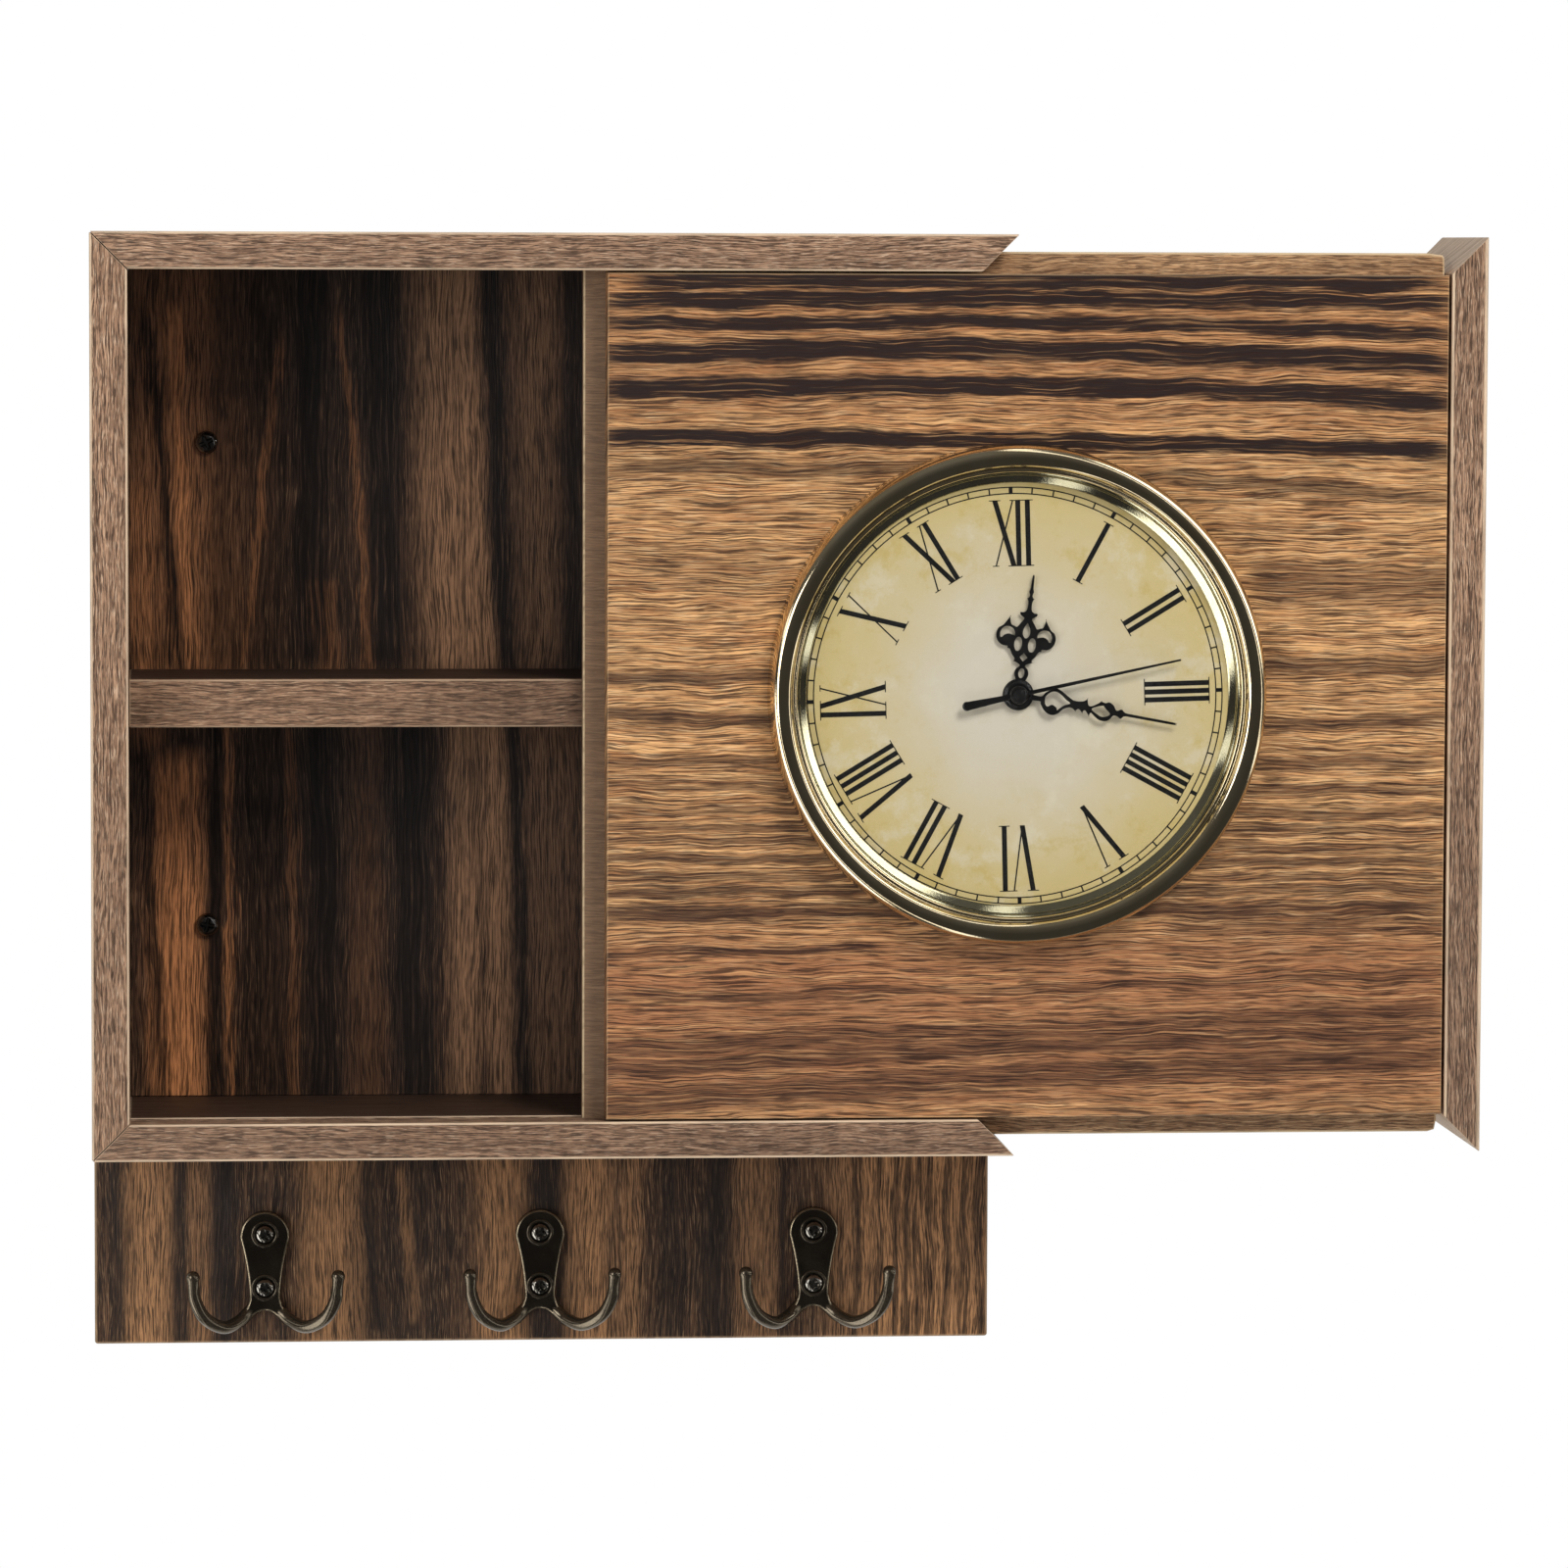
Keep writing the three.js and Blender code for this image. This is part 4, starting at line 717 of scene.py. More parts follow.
def screw_shank(x, z, seat, radius, length, point, pitch=0.9):
    """A threaded shank with its point: the radius rises and falls as a sine along the screw."""
    y = np.linspace(0, length, int(length / pitch) * 6)
    taper = np.clip((length - y) / point, 0.02, 1)
    wave = 0.13 * radius * np.sin(2 * np.pi * y / pitch)
    side = zip((0.87 * radius + wave) * taper, seat + y)
    profile = [(0, seat - 0.2), *side, (0, seat + length)]
    return turned(profile, 20, x, z, closed=False)


for side, x in (("left", -97.3), ("right", 97.3)):
    for level, z in (("upper", 69.6), ("lower", -69.6)):
        parts = [screw_head(x, z, seat=-8.3, radius=3.3, height=2.3, turn=0.3 * x + z),
                 screw_shank(x, z, seat=-8.35, radius=1.7, length=30, point=4)]
        piece(f"wall_fixing_{side}_{level}", parts, black_steel, "cabinet",
              [f"wall_screw_{side}_{level}"])


# Hooks

def curve_between(start, pull, end, count=8):
    """Points on (1-t)^2 start + 2t(1-t) pull + t^2 end, without the last."""
    t = np.linspace(0, 1, count, endpoint=False)[:, None]
    return (1 - t) ** 2 * np.array(start) + 2 * t * (1 - t) * np.array(pull) + t * t * np.array(end)


def plate_outline():
    """Hook plate from its top: an arc over the lobe, a hollow to the waist, and a foot spread to both
    arms."""
    lobe, waist, foot, shoulder = 7.15, 4.4, -26.5, 0.1
    turn = np.linspace(-shoulder, np.pi + shoulder, 40, endpoint=False)
    arc = np.stack([lobe * np.cos(turn), lobe * np.sin(turn) - lobe], -1)
    low = [-lobe * math.cos(shoulder), -lobe - lobe * math.sin(shoulder)]
    left = [
        curve_between(low, (-waist - 0.5, -lobe - 9), (-waist, foot + 2.5), 12),
        curve_between((-waist, foot + 2.5), (-waist, foot - 1.5), (-waist - 2.6, foot - 3.4)),
        curve_between((-waist - 2.6, foot - 3.4), (-waist - 2.4, foot - 5.4), (-waist - 0.6, foot - 5.6), 5),
        curve_between((-waist - 0.6, foot - 5.6), (-waist + 2, foot - 2.4), (0, foot - 2.4)),
    ]
    half = np.concatenate(left)
    return np.concatenate([arc, half, [(0, foot - 2.4)], (half * (-1, 1))[:0:-1]])


def within(points, loop):
    """Whether each point lies in a closed loop: a ray along X from it crosses the loop an odd number of
    times."""
    x, z = points[:, None, 0], points[:, None, 1]
    (x0, z0), (x1, z1) = loop.T, np.roll(loop, -1, 0).T
    crosses = (z0 > z) != (z1 > z)
    at = x0 + (z - z0) / np.where(z1 == z0, 1, z1 - z0) * (x1 - x0)
    return (crosses & (at > x)).sum(1) % 2 == 1


def capped(outline, holes, y):
    """A flat face inside an outline, at one depth, with its holes left open."""
    loops = [outline] + holes
    starts = np.cumsum([0] + [len(loop) for loop in loops])
    counts = [np.arange(len(loop)) for loop in loops]
    edges = np.concatenate([np.stack([i, np.roll(i, -1)], -1) + start for i, start in zip(counts, starts)])
    flat, _, faces, *_ = geometry.delaunay_2d_cdt(np.concatenate(loops).tolist(), edges.tolist(), [], 1, 1e-6)
    flat = np.array([tuple(p) for p in flat])
    middles = np.array([flat[list(f)].mean(0) for f in faces])
    kept = within(middles, outline)
    for loop in holes:
        kept &= ~within(middles, loop)
    return shell(standing(flat, y), [np.array(faces)[kept]], False)


def pierced(outline, holes, front, back, bevel=0.07):
    """A thin plate with holes: each loop is carried from the back to the front and drawn in there by the
    bevel."""
    skins, small = [], []
    for loop, inward in [(outline, bevel)] + [(loop, -bevel) for loop in holes]:
        small.append(drawn_in(loop, inward))
        rows = [standing(loop, back), standing(loop, front + bevel), standing(small[-1], front)]
        skins.append(shell(rows, [band(3, len(loop))]))
    return skins + [capped(small[0], small[1:], front), capped(outline, holes, back)]


def hook_arm(x, side):
    """One arm: a round bar along a curve from the plate's foot, forwards and up. Its radius swells at the
    root, narrows to a neck, and follows a circle over the ball at the tip."""
    knots = np.array([(2.4, -0.6, -27.6), (4.6, -0.9, -29.5), (7.5, -2.9, -31.9), (12.0, -7.7, -32.9),
                      (17.2, -12.8, -29.6), (20.1, -15.2, -24.2), (20.8, -15.9, -18.5), (20.9, -15.9, -15.2)])
    path = spline(knots * (side, 1, 1) + (x, HOOK_BACK, HOOK_TOP), 96)
    run = np.concatenate([[0], np.cumsum(np.linalg.norm(np.diff(path, axis=0), axis=1))])
    left = run[-1] - run
    bar = 1.88 + 0.1 * np.exp(-run / 4) - 0.22 * np.exp(-((left - 5.2) / 2.4) ** 2)
    ball = np.sqrt(np.clip(2.0 ** 2 - (left - 2.0) ** 2, 0.0004, None))
    radius = np.where(left < 2.9, ball, np.maximum(bar * np.clip(run / 0.8, 0.3, 1) ** 0.5, 0.2))
    # The tube's arris share, 0.32 over the whole arm, paints the arms paler than the plate, as if lit more:
    # painted light.
    return tube(path, radius)


# Raised ring and sinking round a hook's screw, as (radius, depth from the plate's front), and its share of
# the paler tone: partly wear, partly painted highlight
SINK = [(3.95, 0.0), (3.85, -0.16), (3.62, -0.26), (3.3, -0.24), (3.0, -0.1), (2.86, 0.1), (2.82, 0.7),
        (0, 0.7)]
SINK_WEAR_AND_HIGHLIGHT = [0, 0.1, 0.35, 0.2, 0, 0, 0, 0]
HOOK_SCREW_DROPS = {"upper": 6.6, "lower": 22.2}


def hook_plate(x):
    """The plate: its outline carried back, rounded at the front, with a raised ring round each screw's
    sinking."""
    outline = plate_outline() + (x, HOOK_TOP)
    front, back = HOOK_BACK - 2.6, HOOK_BACK
    q = np.linspace(0, np.pi / 2, 5)
    loops = [drawn_in(outline, 0.75 * (1 - math.sin(v))) for v in q] + [outline, outline]
    depths = [front + 0.75 * (1 - math.cos(v)) for v in q] + [back - 0.1, back]
    points = np.array([standing(loop, depth) for loop, depth in zip(loops, depths)])
    rows, cols = points.shape[:2]
    # The plate's rounded front edge takes the paler tone: partly wear, partly a painted highlight.
    wear_and_highlight = np.repeat([0, 1, 1, 1, 0, 0, 0], cols)
    quads, _, under = capped_band(rows, cols)
    skins = [shell(points, [quads, under], True, wear_and_highlight)]
    turn = circle(48)
    rings = []
    for drop in HOOK_SCREW_DROPS.values():
        z = HOOK_TOP - drop
        rings.append(np.stack([x + SINK[0][0] * np.cos(turn), z + SINK[0][0] * np.sin(turn)], -1))
        profile = [(r, front + d) for r, d in SINK]
        skins.append(turned(profile, 48, x, z, closed=False, arris=SINK_WEAR_AND_HIGHLIGHT))
    return skins + [capped(loops[0], rings, front)]


for side, x in zip(("left", "middle", "right"), HOOK_X):
    skins = hook_plate(x) + [hook_arm(x, 1), hook_arm(x, -1)]
    piece(f"double_hook_{side}", skins, bronze, "cabinet", [f"hook_{side}"], sharp=50)
    for level, drop in HOOK_SCREW_DROPS.items():
        z = HOOK_TOP - drop
        parts = [screw_head(x, z, seat=-10.5, radius=2.5, height=1.5, turn=x + drop, recess=0.9),
                 screw_shank(x, z, seat=-10.55, radius=1.25, length=9, point=2.5, pitch=0.7)]
        piece(f"hook_fixing_{side}_{level}", parts, darkened_steel, "cabinet",
              [f"hook_screw_{side}_{level}"])


# Slider

hole = (CLOCK_X, CLOCK_Z)
front = holed_plate(x=(14.1, 251.7), z=(-118.9, 118.9), y=(CASE_FRONT, -65.6), hole=hole, hole_radius=62.1,
                    radius=0.5)
piece("clock_panel", front, panel_wood, "slider", ["front_panel"])
backing = holed_plate(x=(7.9, 252.2), z=(-125.1, 125.1), y=(-65.3, -60.3), hole=hole, hole_radius=45.0,
                      radius=0.7, corner=2.0)
piece("running_board", backing, backing_wood, "slider", ["backing_board"])


# Clock

# Profiles round the clock's axis are points of (radius, y)
bezel_front = [
    (62.6, -82.4), (62.65, -83.3), (62.85, -83.75), (63.2, -83.9), (63.55, -83.75), (63.85, -83.9),
    (64.15, -84.6), (64.6, -85.35), (65.25, -85.75), (66.2, -85.93), (67.2, -85.96), (68.1, -85.8),
    (68.8, -85.4), (69.35, -84.75), (69.75, -83.8), (70.0, -82.8), (70.15, -81.4), (70.18, -79.6),
    (70.22, -78.2), (70.3, -77.5), (70.4, -77.0),
]
bezel = [*spline(bezel_front, 121), (70.4, -76.35), (64.55, -76.35), (64.55, -80.9), (62.6, -80.9)]
piece("bezel_ring", turned(bezel, 256), gold, "slider", ["clock_bezel"])
step = ((0, 0), (0.1, 0.2), (0.3, 0.24))
steps = [(61.6 + 0.36 * i + r, -79.4 - 0.36 * i - y) for i in range(2) for r, y in step]
cone = [(59.5, -77.8), (59.6, -77.93), (60.1, -78.3), (60.6, -78.67), (61.1, -79.04), (61.6, -79.4)]
reflector = [*cone, *steps, (62.6, -80.3), (64.2, -80.3), (64.2, -77.8)]
piece("reflector_ring", turned(reflector, 256), pale_gold, "slider", ["clock_reflector"],
      sharp=25)
GLASS_RIM, GLASS_FRONT, GLASS_BACK = 62.6, -82.1, -80.6
share = np.linspace(0, 1, 25)
rise = 2.5 * (1 - share ** 2)
dome = [*zip(GLASS_RIM * share, GLASS_FRONT - rise), (64.2, GLASS_FRONT), (64.2, GLASS_BACK)]
dome += zip(GLASS_RIM * share[::-1], GLASS_BACK - rise[::-1])
piece("domed_glass", turned(dome), glass, "slider", ["clock_glass"])
sheet = [(4.4, -77.7), (20, -77.7), (40, -77.7), (64.1, -77.7), (64.2, -77.6), (64.2, -77.3), (64.1, -77.2),
         (4.4, -77.2)]
piece("dial_sheet", turned(sheet), dial_face, "slider", ["clock_dial"])

# A numeral's strokes are (x0, up0, x1, up1, width), drawn upright from its foot, which is towards the middle
FOOT, HEAD = 36.4, 55.0
TALL = HEAD - FOOT
PRINT_X, PRINT_Z = CLOCK_X - 0.8, CLOCK_Z - 0.4      # the print is a little off the hands' axis
BAR_STEPS = {"II": 2.5, "III": 2.2, "IIII": 2.2, "VII": 2.7, "VIII": 2.45, "XII": 2.7}
LETTER_STEPS = {"IX": 4.95, "VI": 5.2, "XI": 3.95}
THICK, THIN, SERIF = 1.4, 0.4, 0.26
V_HALF, X_HALF = 2.7, 2.55


def numeral(text):
    """Strokes of a Roman numeral: bars are upright, V and X have one thick and one thin limb.
    Each limb has a short serif at each free end, wider than the limb."""
    strokes, ends, at = [], [], 0.0
    for i, letter in enumerate(text):
        if i:
            at += LETTER_STEPS.get(text[i - 1:i + 1], BAR_STEPS.get(text, 2.4))
        if letter == "I":
            strokes.append((at, 0.0, at, TALL, THICK))
            ends += [(at, 0.0, 1.55), (at, TALL, 1.55)]
        elif letter == "V":
            strokes.append((at - V_HALF, TALL, at + 0.1, 0.0, THICK))
            strokes.append((at + V_HALF, TALL, at + 0.1, 0.0, THIN))
            ends += [(at - V_HALF, TALL, 1.6), (at + V_HALF, TALL, 0.9)]
        else:
            strokes.append((at - X_HALF, TALL, at + X_HALF, 0.0, THICK))
            strokes.append((at + X_HALF, TALL, at - X_HALF, 0.0, THIN))
            ends += [(at - X_HALF, TALL, 1.6), (at + X_HALF, TALL, 0.9)]
            ends += [(at - X_HALF, 0.0, 0.9), (at + X_HALF, 0.0, 1.6)]
    for x, up, half in ends:
        up += 0.13 if up == 0.0 else -0.13
        strokes.append((x - half, up, x + half, up, SERIF))
    places = [x for x, _, _ in ends]
    return np.array(strokes) - np.array([1, 0, 1, 0, 0]) * (min(places) + max(places)) / 2


def on_dial(strokes, degrees, foot):
    """Four-cornered outlines of strokes, set `foot` out from the middle, turned clockwise round the dial."""
    strokes = np.asarray(strokes, float)
    start, end, width = strokes[:, :2], strokes[:, 2:4], strokes[:, 4:]
    along = unit(end - start)
    across = np.stack([-along[:, 1], along[:, 0]], -1) * width / 2
    steep = (abs(along[:, 1]) > 0.5)[:, None]
    flat_cut = np.where(steep, np.stack([np.ones(len(along)), np.zeros(len(along))], -1) * width / 2
                        / np.maximum(abs(along[:, 1:]), 0.3), across)
    corners = np.stack([start + flat_cut, end + flat_cut, end - flat_cut, start - flat_cut], 1) + (0, foot)
    turn = np.radians(degrees)
    x = corners[..., 0] * np.cos(turn) + corners[..., 1] * np.sin(turn)
    z = -corners[..., 0] * np.sin(turn) + corners[..., 1] * np.cos(turn)
    return np.stack([x + PRINT_X, z + PRINT_Z], -1)


DIAL_TILT = -1.6
numerals = ["XII", "I", "II", "III", "IIII", "V", "VI", "VII", "VIII", "IX", "X", "XI"]
outlines = np.concatenate([on_dial(numeral(text), 30 * hour + DIAL_TILT, FOOT)
                           for hour, text in enumerate(numerals)])
RING_INNER, RING_OUTER, PRINT_BACK = 56.8, 58.55, -77.69
ticks = np.concatenate([
    on_dial([(0, 0, 0, RING_OUTER - RING_INNER, 0.42 if minute % 5 else 1.1)],
            6 * minute + DIAL_TILT, RING_INNER)
    for minute in range(60)
])
dial_marks = [blocks(outlines[0::2], -77.74, PRINT_BACK), blocks(outlines[1::2], -77.75, PRINT_BACK),
              blocks(ticks, -77.745, PRINT_BACK)]
for radius in (RING_INNER, RING_OUTER):
    line = [(radius + side * 0.17, -77.735) for side in (-1, 1)]
    line += [(radius + side * 0.17, PRINT_BACK) for side in (1, -1)]
    dial_marks.append(turned(line, 256, PRINT_X, PRINT_Z))
piece("dial_print", dial_marks, print_black, "slider")


def turned_clockwise(shells, degrees):
    """Shells drawn round the origin, turned clockwise as seen from the front, and moved to the clock's
    axis."""
    turn = math.radians(degrees)
    for part in shells:
        px, y, pz = part["points"].T
        part["points"] = np.stack([CLOCK_X + px * math.cos(turn) + pz * math.sin(turn), y,
                                   CLOCK_Z + pz * math.cos(turn) - px * math.sin(turn)], -1)
    return shells


def straight(length, half_start, half_end, front, back, bevel=0.1):
    """A flat bevelled bar from the axis along Z: six points across it, the outer ones at its half width."""
    share = np.linspace(0, 1, 12)[:, None]
    half = half_start + (half_end - half_start) * share
    cut = np.minimum(half * 0.45, bevel)
    across = np.concatenate([-half, -half, cut - half, half - cut, half, half], 1) * -np.sign(length)
    depth = np.array([back, front + bevel, front, front, front + bevel, back])
    points = np.stack(np.broadcast_arrays(across, depth, length * share), -1)
    return shell(points, capped_band(12, 6))


def lens(z, radius, front, back):
    """A round lens: flat to half its radius, and then falling by the square of the radius beyond."""
    share = np.linspace(0.5, 1, 5)
    fall = (share - 0.5) ** 2 / 0.5 ** 2 * (back - front) * 0.6
    profile = [(0, front), *zip(radius * share, front + fall), (radius, back), (0, back)]
    return turned(profile, 40, 0, z)


def oval(x, z, wide, tall, count=32):
    """An ellipse by its middle and half sizes."""
    turn = circle(count)
    return np.stack([x + wide * np.cos(turn), z + tall * np.sin(turn)], -1)


def smooth_loop(knots):
    """A closed curve through the knots; a knot written twice makes a sharp point."""
    return spline(knots, 5 * len(knots), closed=True)


def hub_disc(bore, radius, front, back):
    """A flat ring with a raised rim, round the axis."""
    profile = [(bore, front), (radius - 0.9, front), (radius - 0.6, front - 0.12),
               (radius - 0.25, front - 0.1), (radius, front + 0.12), (radius, back), (bore, back)]
    return turned(profile, 64, 0, 0)


# Half outline of the hour hand, from its hub to its tip, as (across, along)
HOUR_SIDE = [
    (0.9, 3.6), (1.6, 4.6), (2.0, 6.0), (1.6, 7.3), (0.75, 8.1), (1.2, 8.7), (2.6, 9.3), (2.6, 9.3),
    (2.5, 10.1), (3.4, 11.2), (4.1, 12.5), (4.8, 12.7), (4.9, 13.3), (6.4, 13.4), (7.8, 14.4), (8.45, 16.2),
    (8.0, 18.0), (6.6, 19.2), (5.1, 21.6), (5.1, 21.6), (4.6, 19.6), (3.6, 19.1), (2.8, 18.9), (2.0, 20.0),
    (1.15, 21.4), (1.7, 22.0), (2.3, 22.4), (2.45, 23.1), (1.5, 23.2), (0.75, 23.8), (0.55, 25.0),
    (0.6, 26.3), (0.95, 27.1), (0.95, 27.1), (0.5, 27.6), (0.38, 28.2), (0.66, 29.1), (0.42, 29.9),
    (0.34, 31.5), (0.26, 33.4), (0.0, 33.9),
]
SCROLL_HOLE = [
    (7.2, 15.6), (7.35, 16.9), (6.9, 18.0), (6.0, 18.7), (4.8, 18.75), (3.75, 18.2), (3.25, 17.3),
    (3.2, 16.4), (3.2, 16.4), (3.9, 16.6), (5.0, 16.75), (6.1, 16.3), (6.7, 15.6), (7.2, 15.6),
]
MINUTE_OUTLINE = [
    (0.75, 2.8), (0.65, 6.1), (1.3, 6.5), (2.6, 7.4), (3.6, 8.8), (3.8, 10.5), (2.9, 12.0), (1.6, 13.1),
    (0.8, 14.9), (1.5, 16.5), (1.5, 16.5), (0.8, 17.3), (1.7, 18.5), (1.7, 18.5), (0.8, 19.1), (2.2, 20.5),
    (2.2, 20.5), (1.2, 20.9), (2.0, 22.1), (2.8, 23.6), (2.8, 25.4), (1.95, 26.6), (0.9, 27.3), (0.86, 28.5),
    (1.35, 29.5), (0.55, 30.5), (0.42, 33.0), (0.34, 44.6), (0.0, 45.0), (-0.34, 44.6), (-0.42, 33.0),
    (-0.5, 30.6), (-1.25, 29.4), (-0.75, 28.3), (-0.9, 27.7), (-2.0, 26.9), (-2.6, 25.6), (-2.2, 24.5),
    (-2.5, 23.3), (-2.5, 23.3), (-1.5, 22.2), (-0.6, 20.7), (-0.9, 19.8), (-2.5, 19.3), (-2.5, 19.3),
    (-1.6, 18.3), (-1.3, 15.8), (-2.2, 13.7), (-3.5, 11.3), (-3.6, 9.6), (-2.1, 7.4), (-0.75, 6.2),
    (-0.75, 2.8),
]
MINUTE_HOLES = [
    [(0.2, 7.5), (-1.1, 7.6), (-2.4, 8.8), (-2.8, 10.2), (-2.2, 11.8), (-1.1, 13.4), (-0.3, 14.7),
     (0.5, 13.2), (1.5, 12.1), (2.3, 11.4), (2.3, 11.4), (1.5, 11.0), (1.0, 9.7), (1.7, 8.6), (1.3, 7.9)],
    [(0.15, 21.0), (-0.9, 22.6), (-1.4, 24.1), (-1.4, 24.1), (-0.6, 24.9), (0.1, 25.9), (0.7, 26.3),
     (1.4, 25.6), (1.75, 24.1), (1.2, 22.6)],
]


def hour_hand():
    """The pierced hour hand, drawn upright from its axis."""
    front, back = -79.0, -78.62
    half = np.array(HOUR_SIDE)
    outline = smooth_loop(np.concatenate([half, (half * (-1, 1))[-2::-1]]))
    mirror = np.array(SCROLL_HOLE) * (-1, 1)
    drop = [(0, 20.3), (0, 20.3), (0.75, 19.0), (1.05, 17.7), (0.75, 16.5), (0, 15.95), (-0.75, 16.5),
            (-1.05, 17.7), (-0.75, 19.0)]
    holes = [oval(0, 6.1, 0.85, 1.4), oval(0, 10.6, 1.15, 1.2, 4), oval(-1.95, 14.2, 1.1, 2.0),
             oval(1.95, 14.2, 1.1, 2.0), smooth_loop(drop), smooth_loop(SCROLL_HOLE), smooth_loop(mirror)]
    return pierced(outline, holes, front, back) + [hub_disc(1.3, 4.15, front - 0.03, back)]


def minute_hand():
    """The pierced minute hand: two open loops with thorns between them, on a fine rod."""
    front, back = -80.0, -79.62
    holes = [smooth_loop(hole) for hole in MINUTE_HOLES]
    return pierced(smooth_loop(MINUTE_OUTLINE), holes, front, back) + [hub_disc(0.9, 3.7, front - 0.03, back)]


def second_hand():
    """The fine second hand with its counterweight and cap."""
    front, back = -81.0, -80.62
    cap = [(0, front - 0.3), (1.2, front - 0.28), (1.5, front - 0.12), (1.8, front - 0.12),
           (2.0, front - 0.3), (2.35, front - 0.28), (2.6, front + 0.1), (2.6, back), (0, back)]
    return [
        straight(46.8, 0.6, 0.27, front - 0.01, back),
        straight(-15.2, 0.6, 1.25, front - 0.02, back),
        lens(-15.0, 1.3, front - 0.05, back),
        turned(cap, 64, 0, 0),
    ]


for name, hand, degrees in (("hour_hand", hour_hand, 7.0), ("minute_hand", minute_hand, 100.6),
                            ("second_hand", second_hand, 77.9)):
    piece(f"{name}_shape", turned_clockwise(hand(), degrees), hand_black, name, [name])


# Nodes of the model that keep their own shape

KEPT = {
    back_wood: ["back_panel"],
    dowel_wood: ["stop_block", "stop_peg", "hook_board_dowel_left", "hook_board_dowel_right",
                 "end_dowel_upper", "end_dowel_middle", "end_dowel_lower"],
    screw_steel: ["shelf_screw_left", "shelf_screw_middle", "shelf_screw_right", "movement_screw_left",
                  "movement_screw_right"],
    black_plastic: ["clock_case", "movement_case", "movement_cover", "setting_knob"],
    rubber: ["clock_gasket"],
    brass: ["contact_plus", "contact_minus", "hour_wheel", "minute_wheel", "second_wheel"],
    copper: ["movement_coil"],
    can_label: ["battery"],
}
for material, names in KEPT.items():
    for name in names:
        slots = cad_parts[name].data.materials
        slots.clear()
        slots.append(material)


# Floor, light and camera

def pale_floor():
    """A round pale floor below the hook board; gloss doesn't mirror it."""
    n = surface("pale_floor")
    cloud = n.ramp(n.noise(n.spot(), 0.02, 3), 0.3, 0.7, 0.0, 0.1)
    material = n.finish(Base_Color=n.mix(cloud, (243.4, 243.4, 243.4), (231.1, 231.1, 231.1)), Roughness=0.8)
    floor = turned([(0, -0.5), (1200, -0.5), (1200, 0.5), (0, 0.5)], 128, 65.0, 0.0)
    mesh = bpy.data.meshes.new("floor")
    mesh.from_pydata((floor["points"][:, [0, 2, 1]] + (0, 0, -500)) * MM, [], floor["faces"])
    mesh.materials.append(material)
    ground = bpy.data.objects.new("floor", mesh)
    ground.visible_glossy = False
    bpy.context.scene.collection.objects.link(ground)


def sky():
    """White for the camera and through glass; a low even light for matt surfaces.
    Gloss sees a dark front, a pale back, and pale patches and stripes low on the left and high on the
    right."""
    world = bpy.data.worlds.new("studio")
    bpy.context.scene.world = world
    n = Nodes(world)

    def light(strength):
        return n.put("ShaderNodeBackground", {"Color": (1, 1, 1, 1), "Strength": strength}).outputs[0]

    rays = n.put("ShaderNodeLightPath").outputs
    x, y, z = n.apart(n.put("ShaderNodeTexCoord").outputs["Generated"])
    slant = n.math("ABSOLUTE", n.math("MULTIPLY_ADD", x, 0.83, n.times(z, 0.56)))
    ends = n.times(n.ramp(slant, 0.82, 0.88, 0.0, 3.0), n.ramp(y, 0.1, -0.05))
    stripe = n.times(n.ramp(slant, 0.56, 0.61, 0.0, 1.5), n.ramp(slant, 0.72, 0.66))
    room = n.higher(n.ramp(z, -0.2, 0.8, 0.04, 0.13), n.ramp(y, -0.05, 0.4, 0.0, 0.85))
    gloss = light(n.higher(n.higher(ends, stripe), room))
    unseen = n.either(rays["Is Glossy Ray"], light(0.34), gloss)
    seen = n.higher(rays["Is Camera Ray"], rays["Is Transmission Ray"])
    n.put("ShaderNodeOutputWorld", {0: n.either(seen, unseen, light(1.0))})


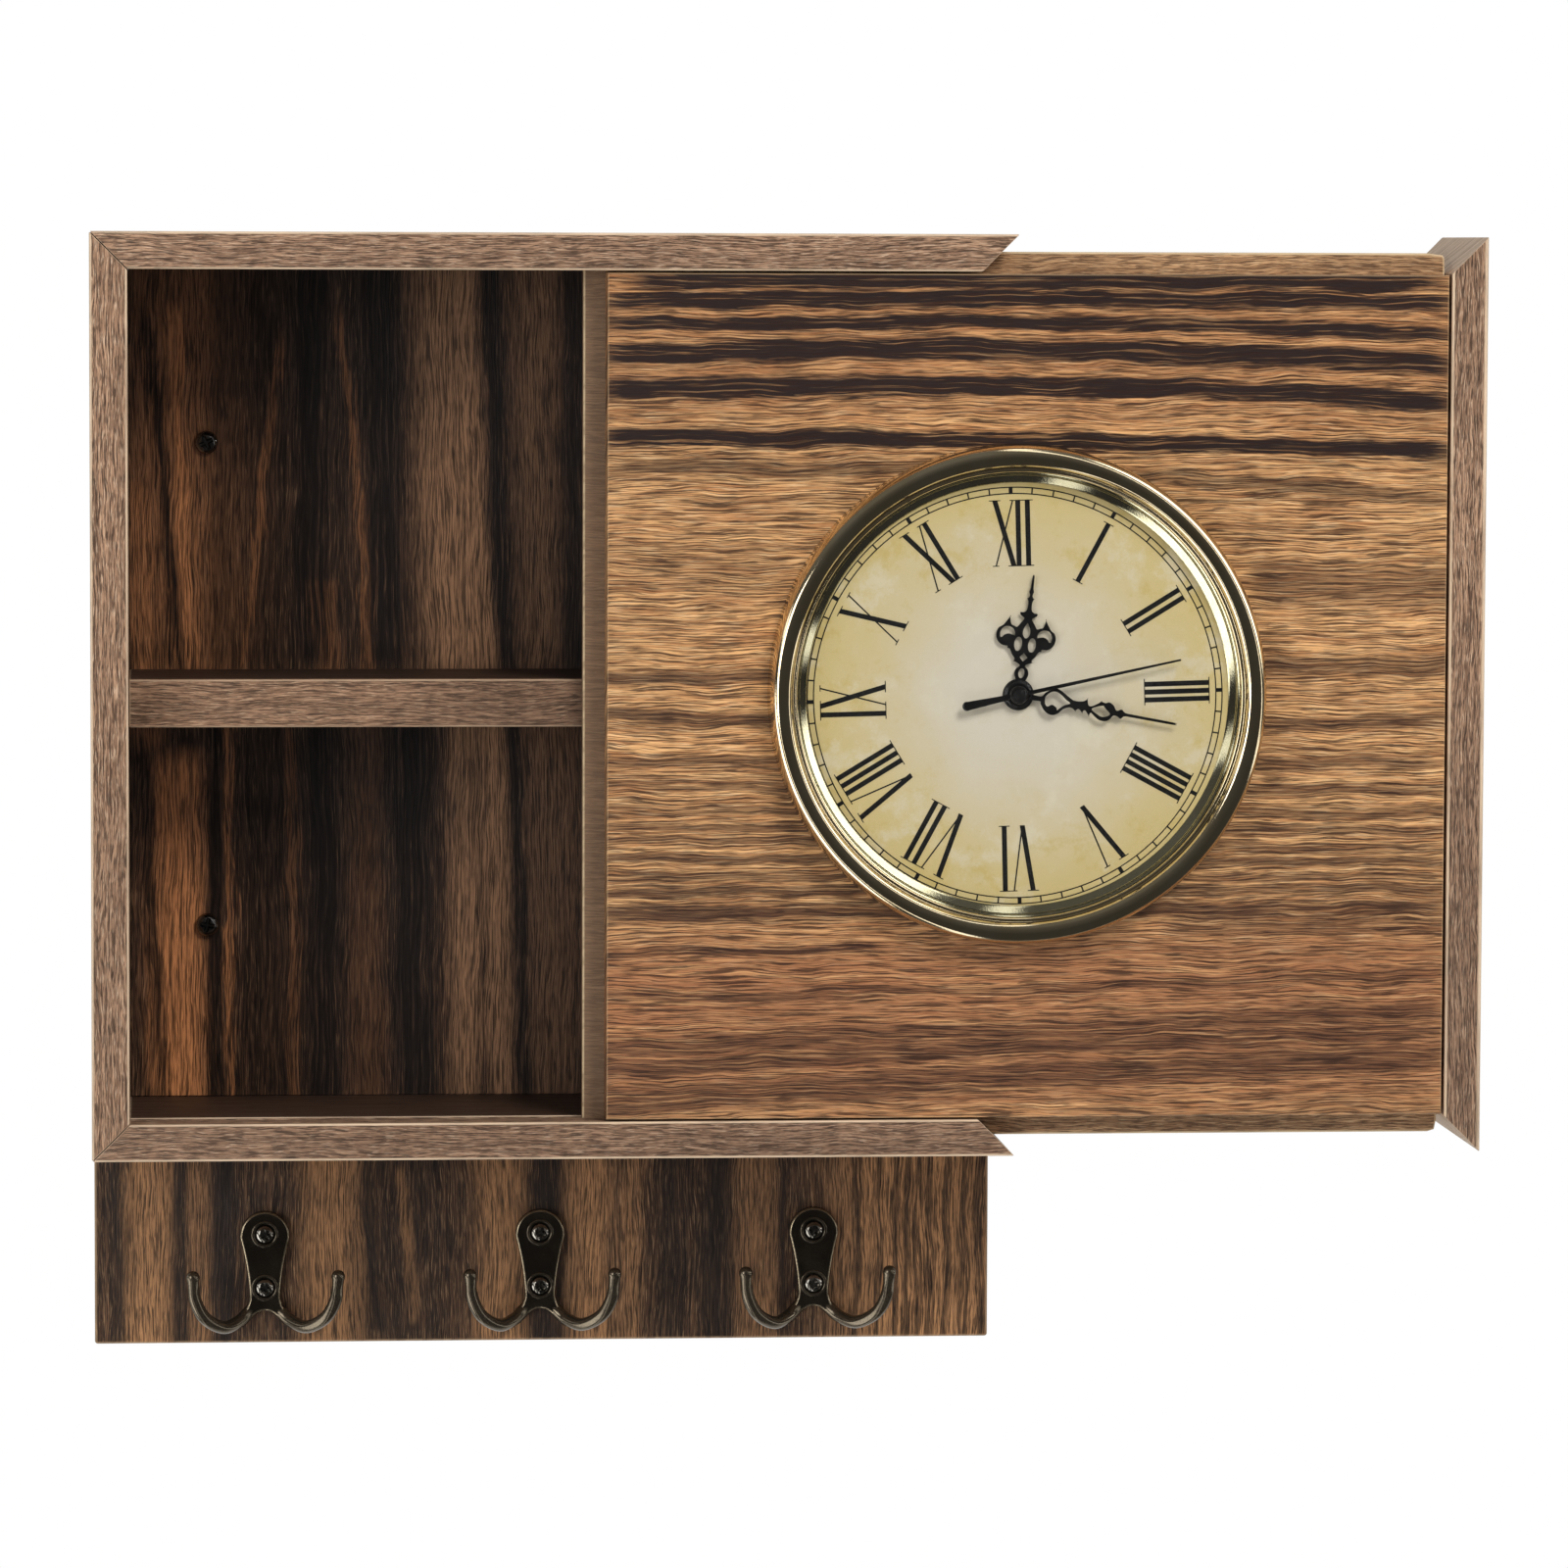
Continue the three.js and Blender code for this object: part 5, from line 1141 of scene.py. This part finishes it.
def stand(thing, place, right, back):
    """Puts a camera or lamp in the scene: its X axis points right, its Z axis back, and Y squarely to
    both."""
    turn = np.eye(4)
    turn[:3] = np.stack([right, np.cross(back, right), back, place], -1)
    thing.matrix_world = Matrix(turn.tolist())
    bpy.context.scene.collection.objects.link(thing)


def softbox(name, place, aim, size, level, mirrored=True):
    """An area light whose power P = level pi^2 d^2 gives `level` of full white on a facing surface at `aim`,
    d away. A lamp that isn't mirrored makes no highlight."""
    light = bpy.data.lights.new(name, "AREA")
    light.shape = "RECTANGLE"
    light.size, light.size_y = size
    away = np.array(place) - np.array(aim)
    light.energy = level * math.pi ** 2 * float(away @ away)
    lamp = bpy.data.objects.new(name, light)
    lamp.visible_glossy = mirrored
    stand(lamp, place, unit(np.cross((0, 0, 1), away)), unit(away))


pale_floor()
sky()
MIDDLE = (0.065, -0.05, 0.0)
softbox("light_left", (-1.6, -1.7, 0.25), MIDDLE, size=(0.9, 1.2), level=0.24)
softbox("light_right_above", (0.9, -1.7, 1.4), MIDDLE, size=(0.8, 0.8), level=0.63, mirrored=False)

# Camera at the photograph's angle, solved from the case's corners in it: its place in millimetres, its angles
# in radians, and its focal length in pixels of a picture 1600 wide
CAMERA_PLACE = (-109.57504923, -2110.96198082, 126.91096873)
FOCAL, PICTURE, SENSOR = 7436.370602, 1600, 36.0
yaw, pitch, roll = 0.08507015, 0.07389203, 0.00360044
forward = np.array([math.sin(yaw) * math.cos(pitch), math.cos(yaw) * math.cos(pitch), -math.sin(pitch)])
level_right = np.array([math.cos(yaw), -math.sin(yaw), 0])
level_up = np.cross(level_right, forward)
right = math.cos(roll) * level_right + math.sin(roll) * level_up
camera_data = bpy.data.cameras.new("camera")
camera_data.sensor_width = SENSOR
camera_data.lens = FOCAL / PICTURE * SENSOR
camera_data.clip_start, camera_data.clip_end = 0.05, 50.0
camera = bpy.data.objects.new("camera", camera_data)
stand(camera, np.array(CAMERA_PLACE) * MM, right, -forward)
bpy.context.scene.camera = camera
bpy.context.scene.view_settings.view_transform = "Standard"
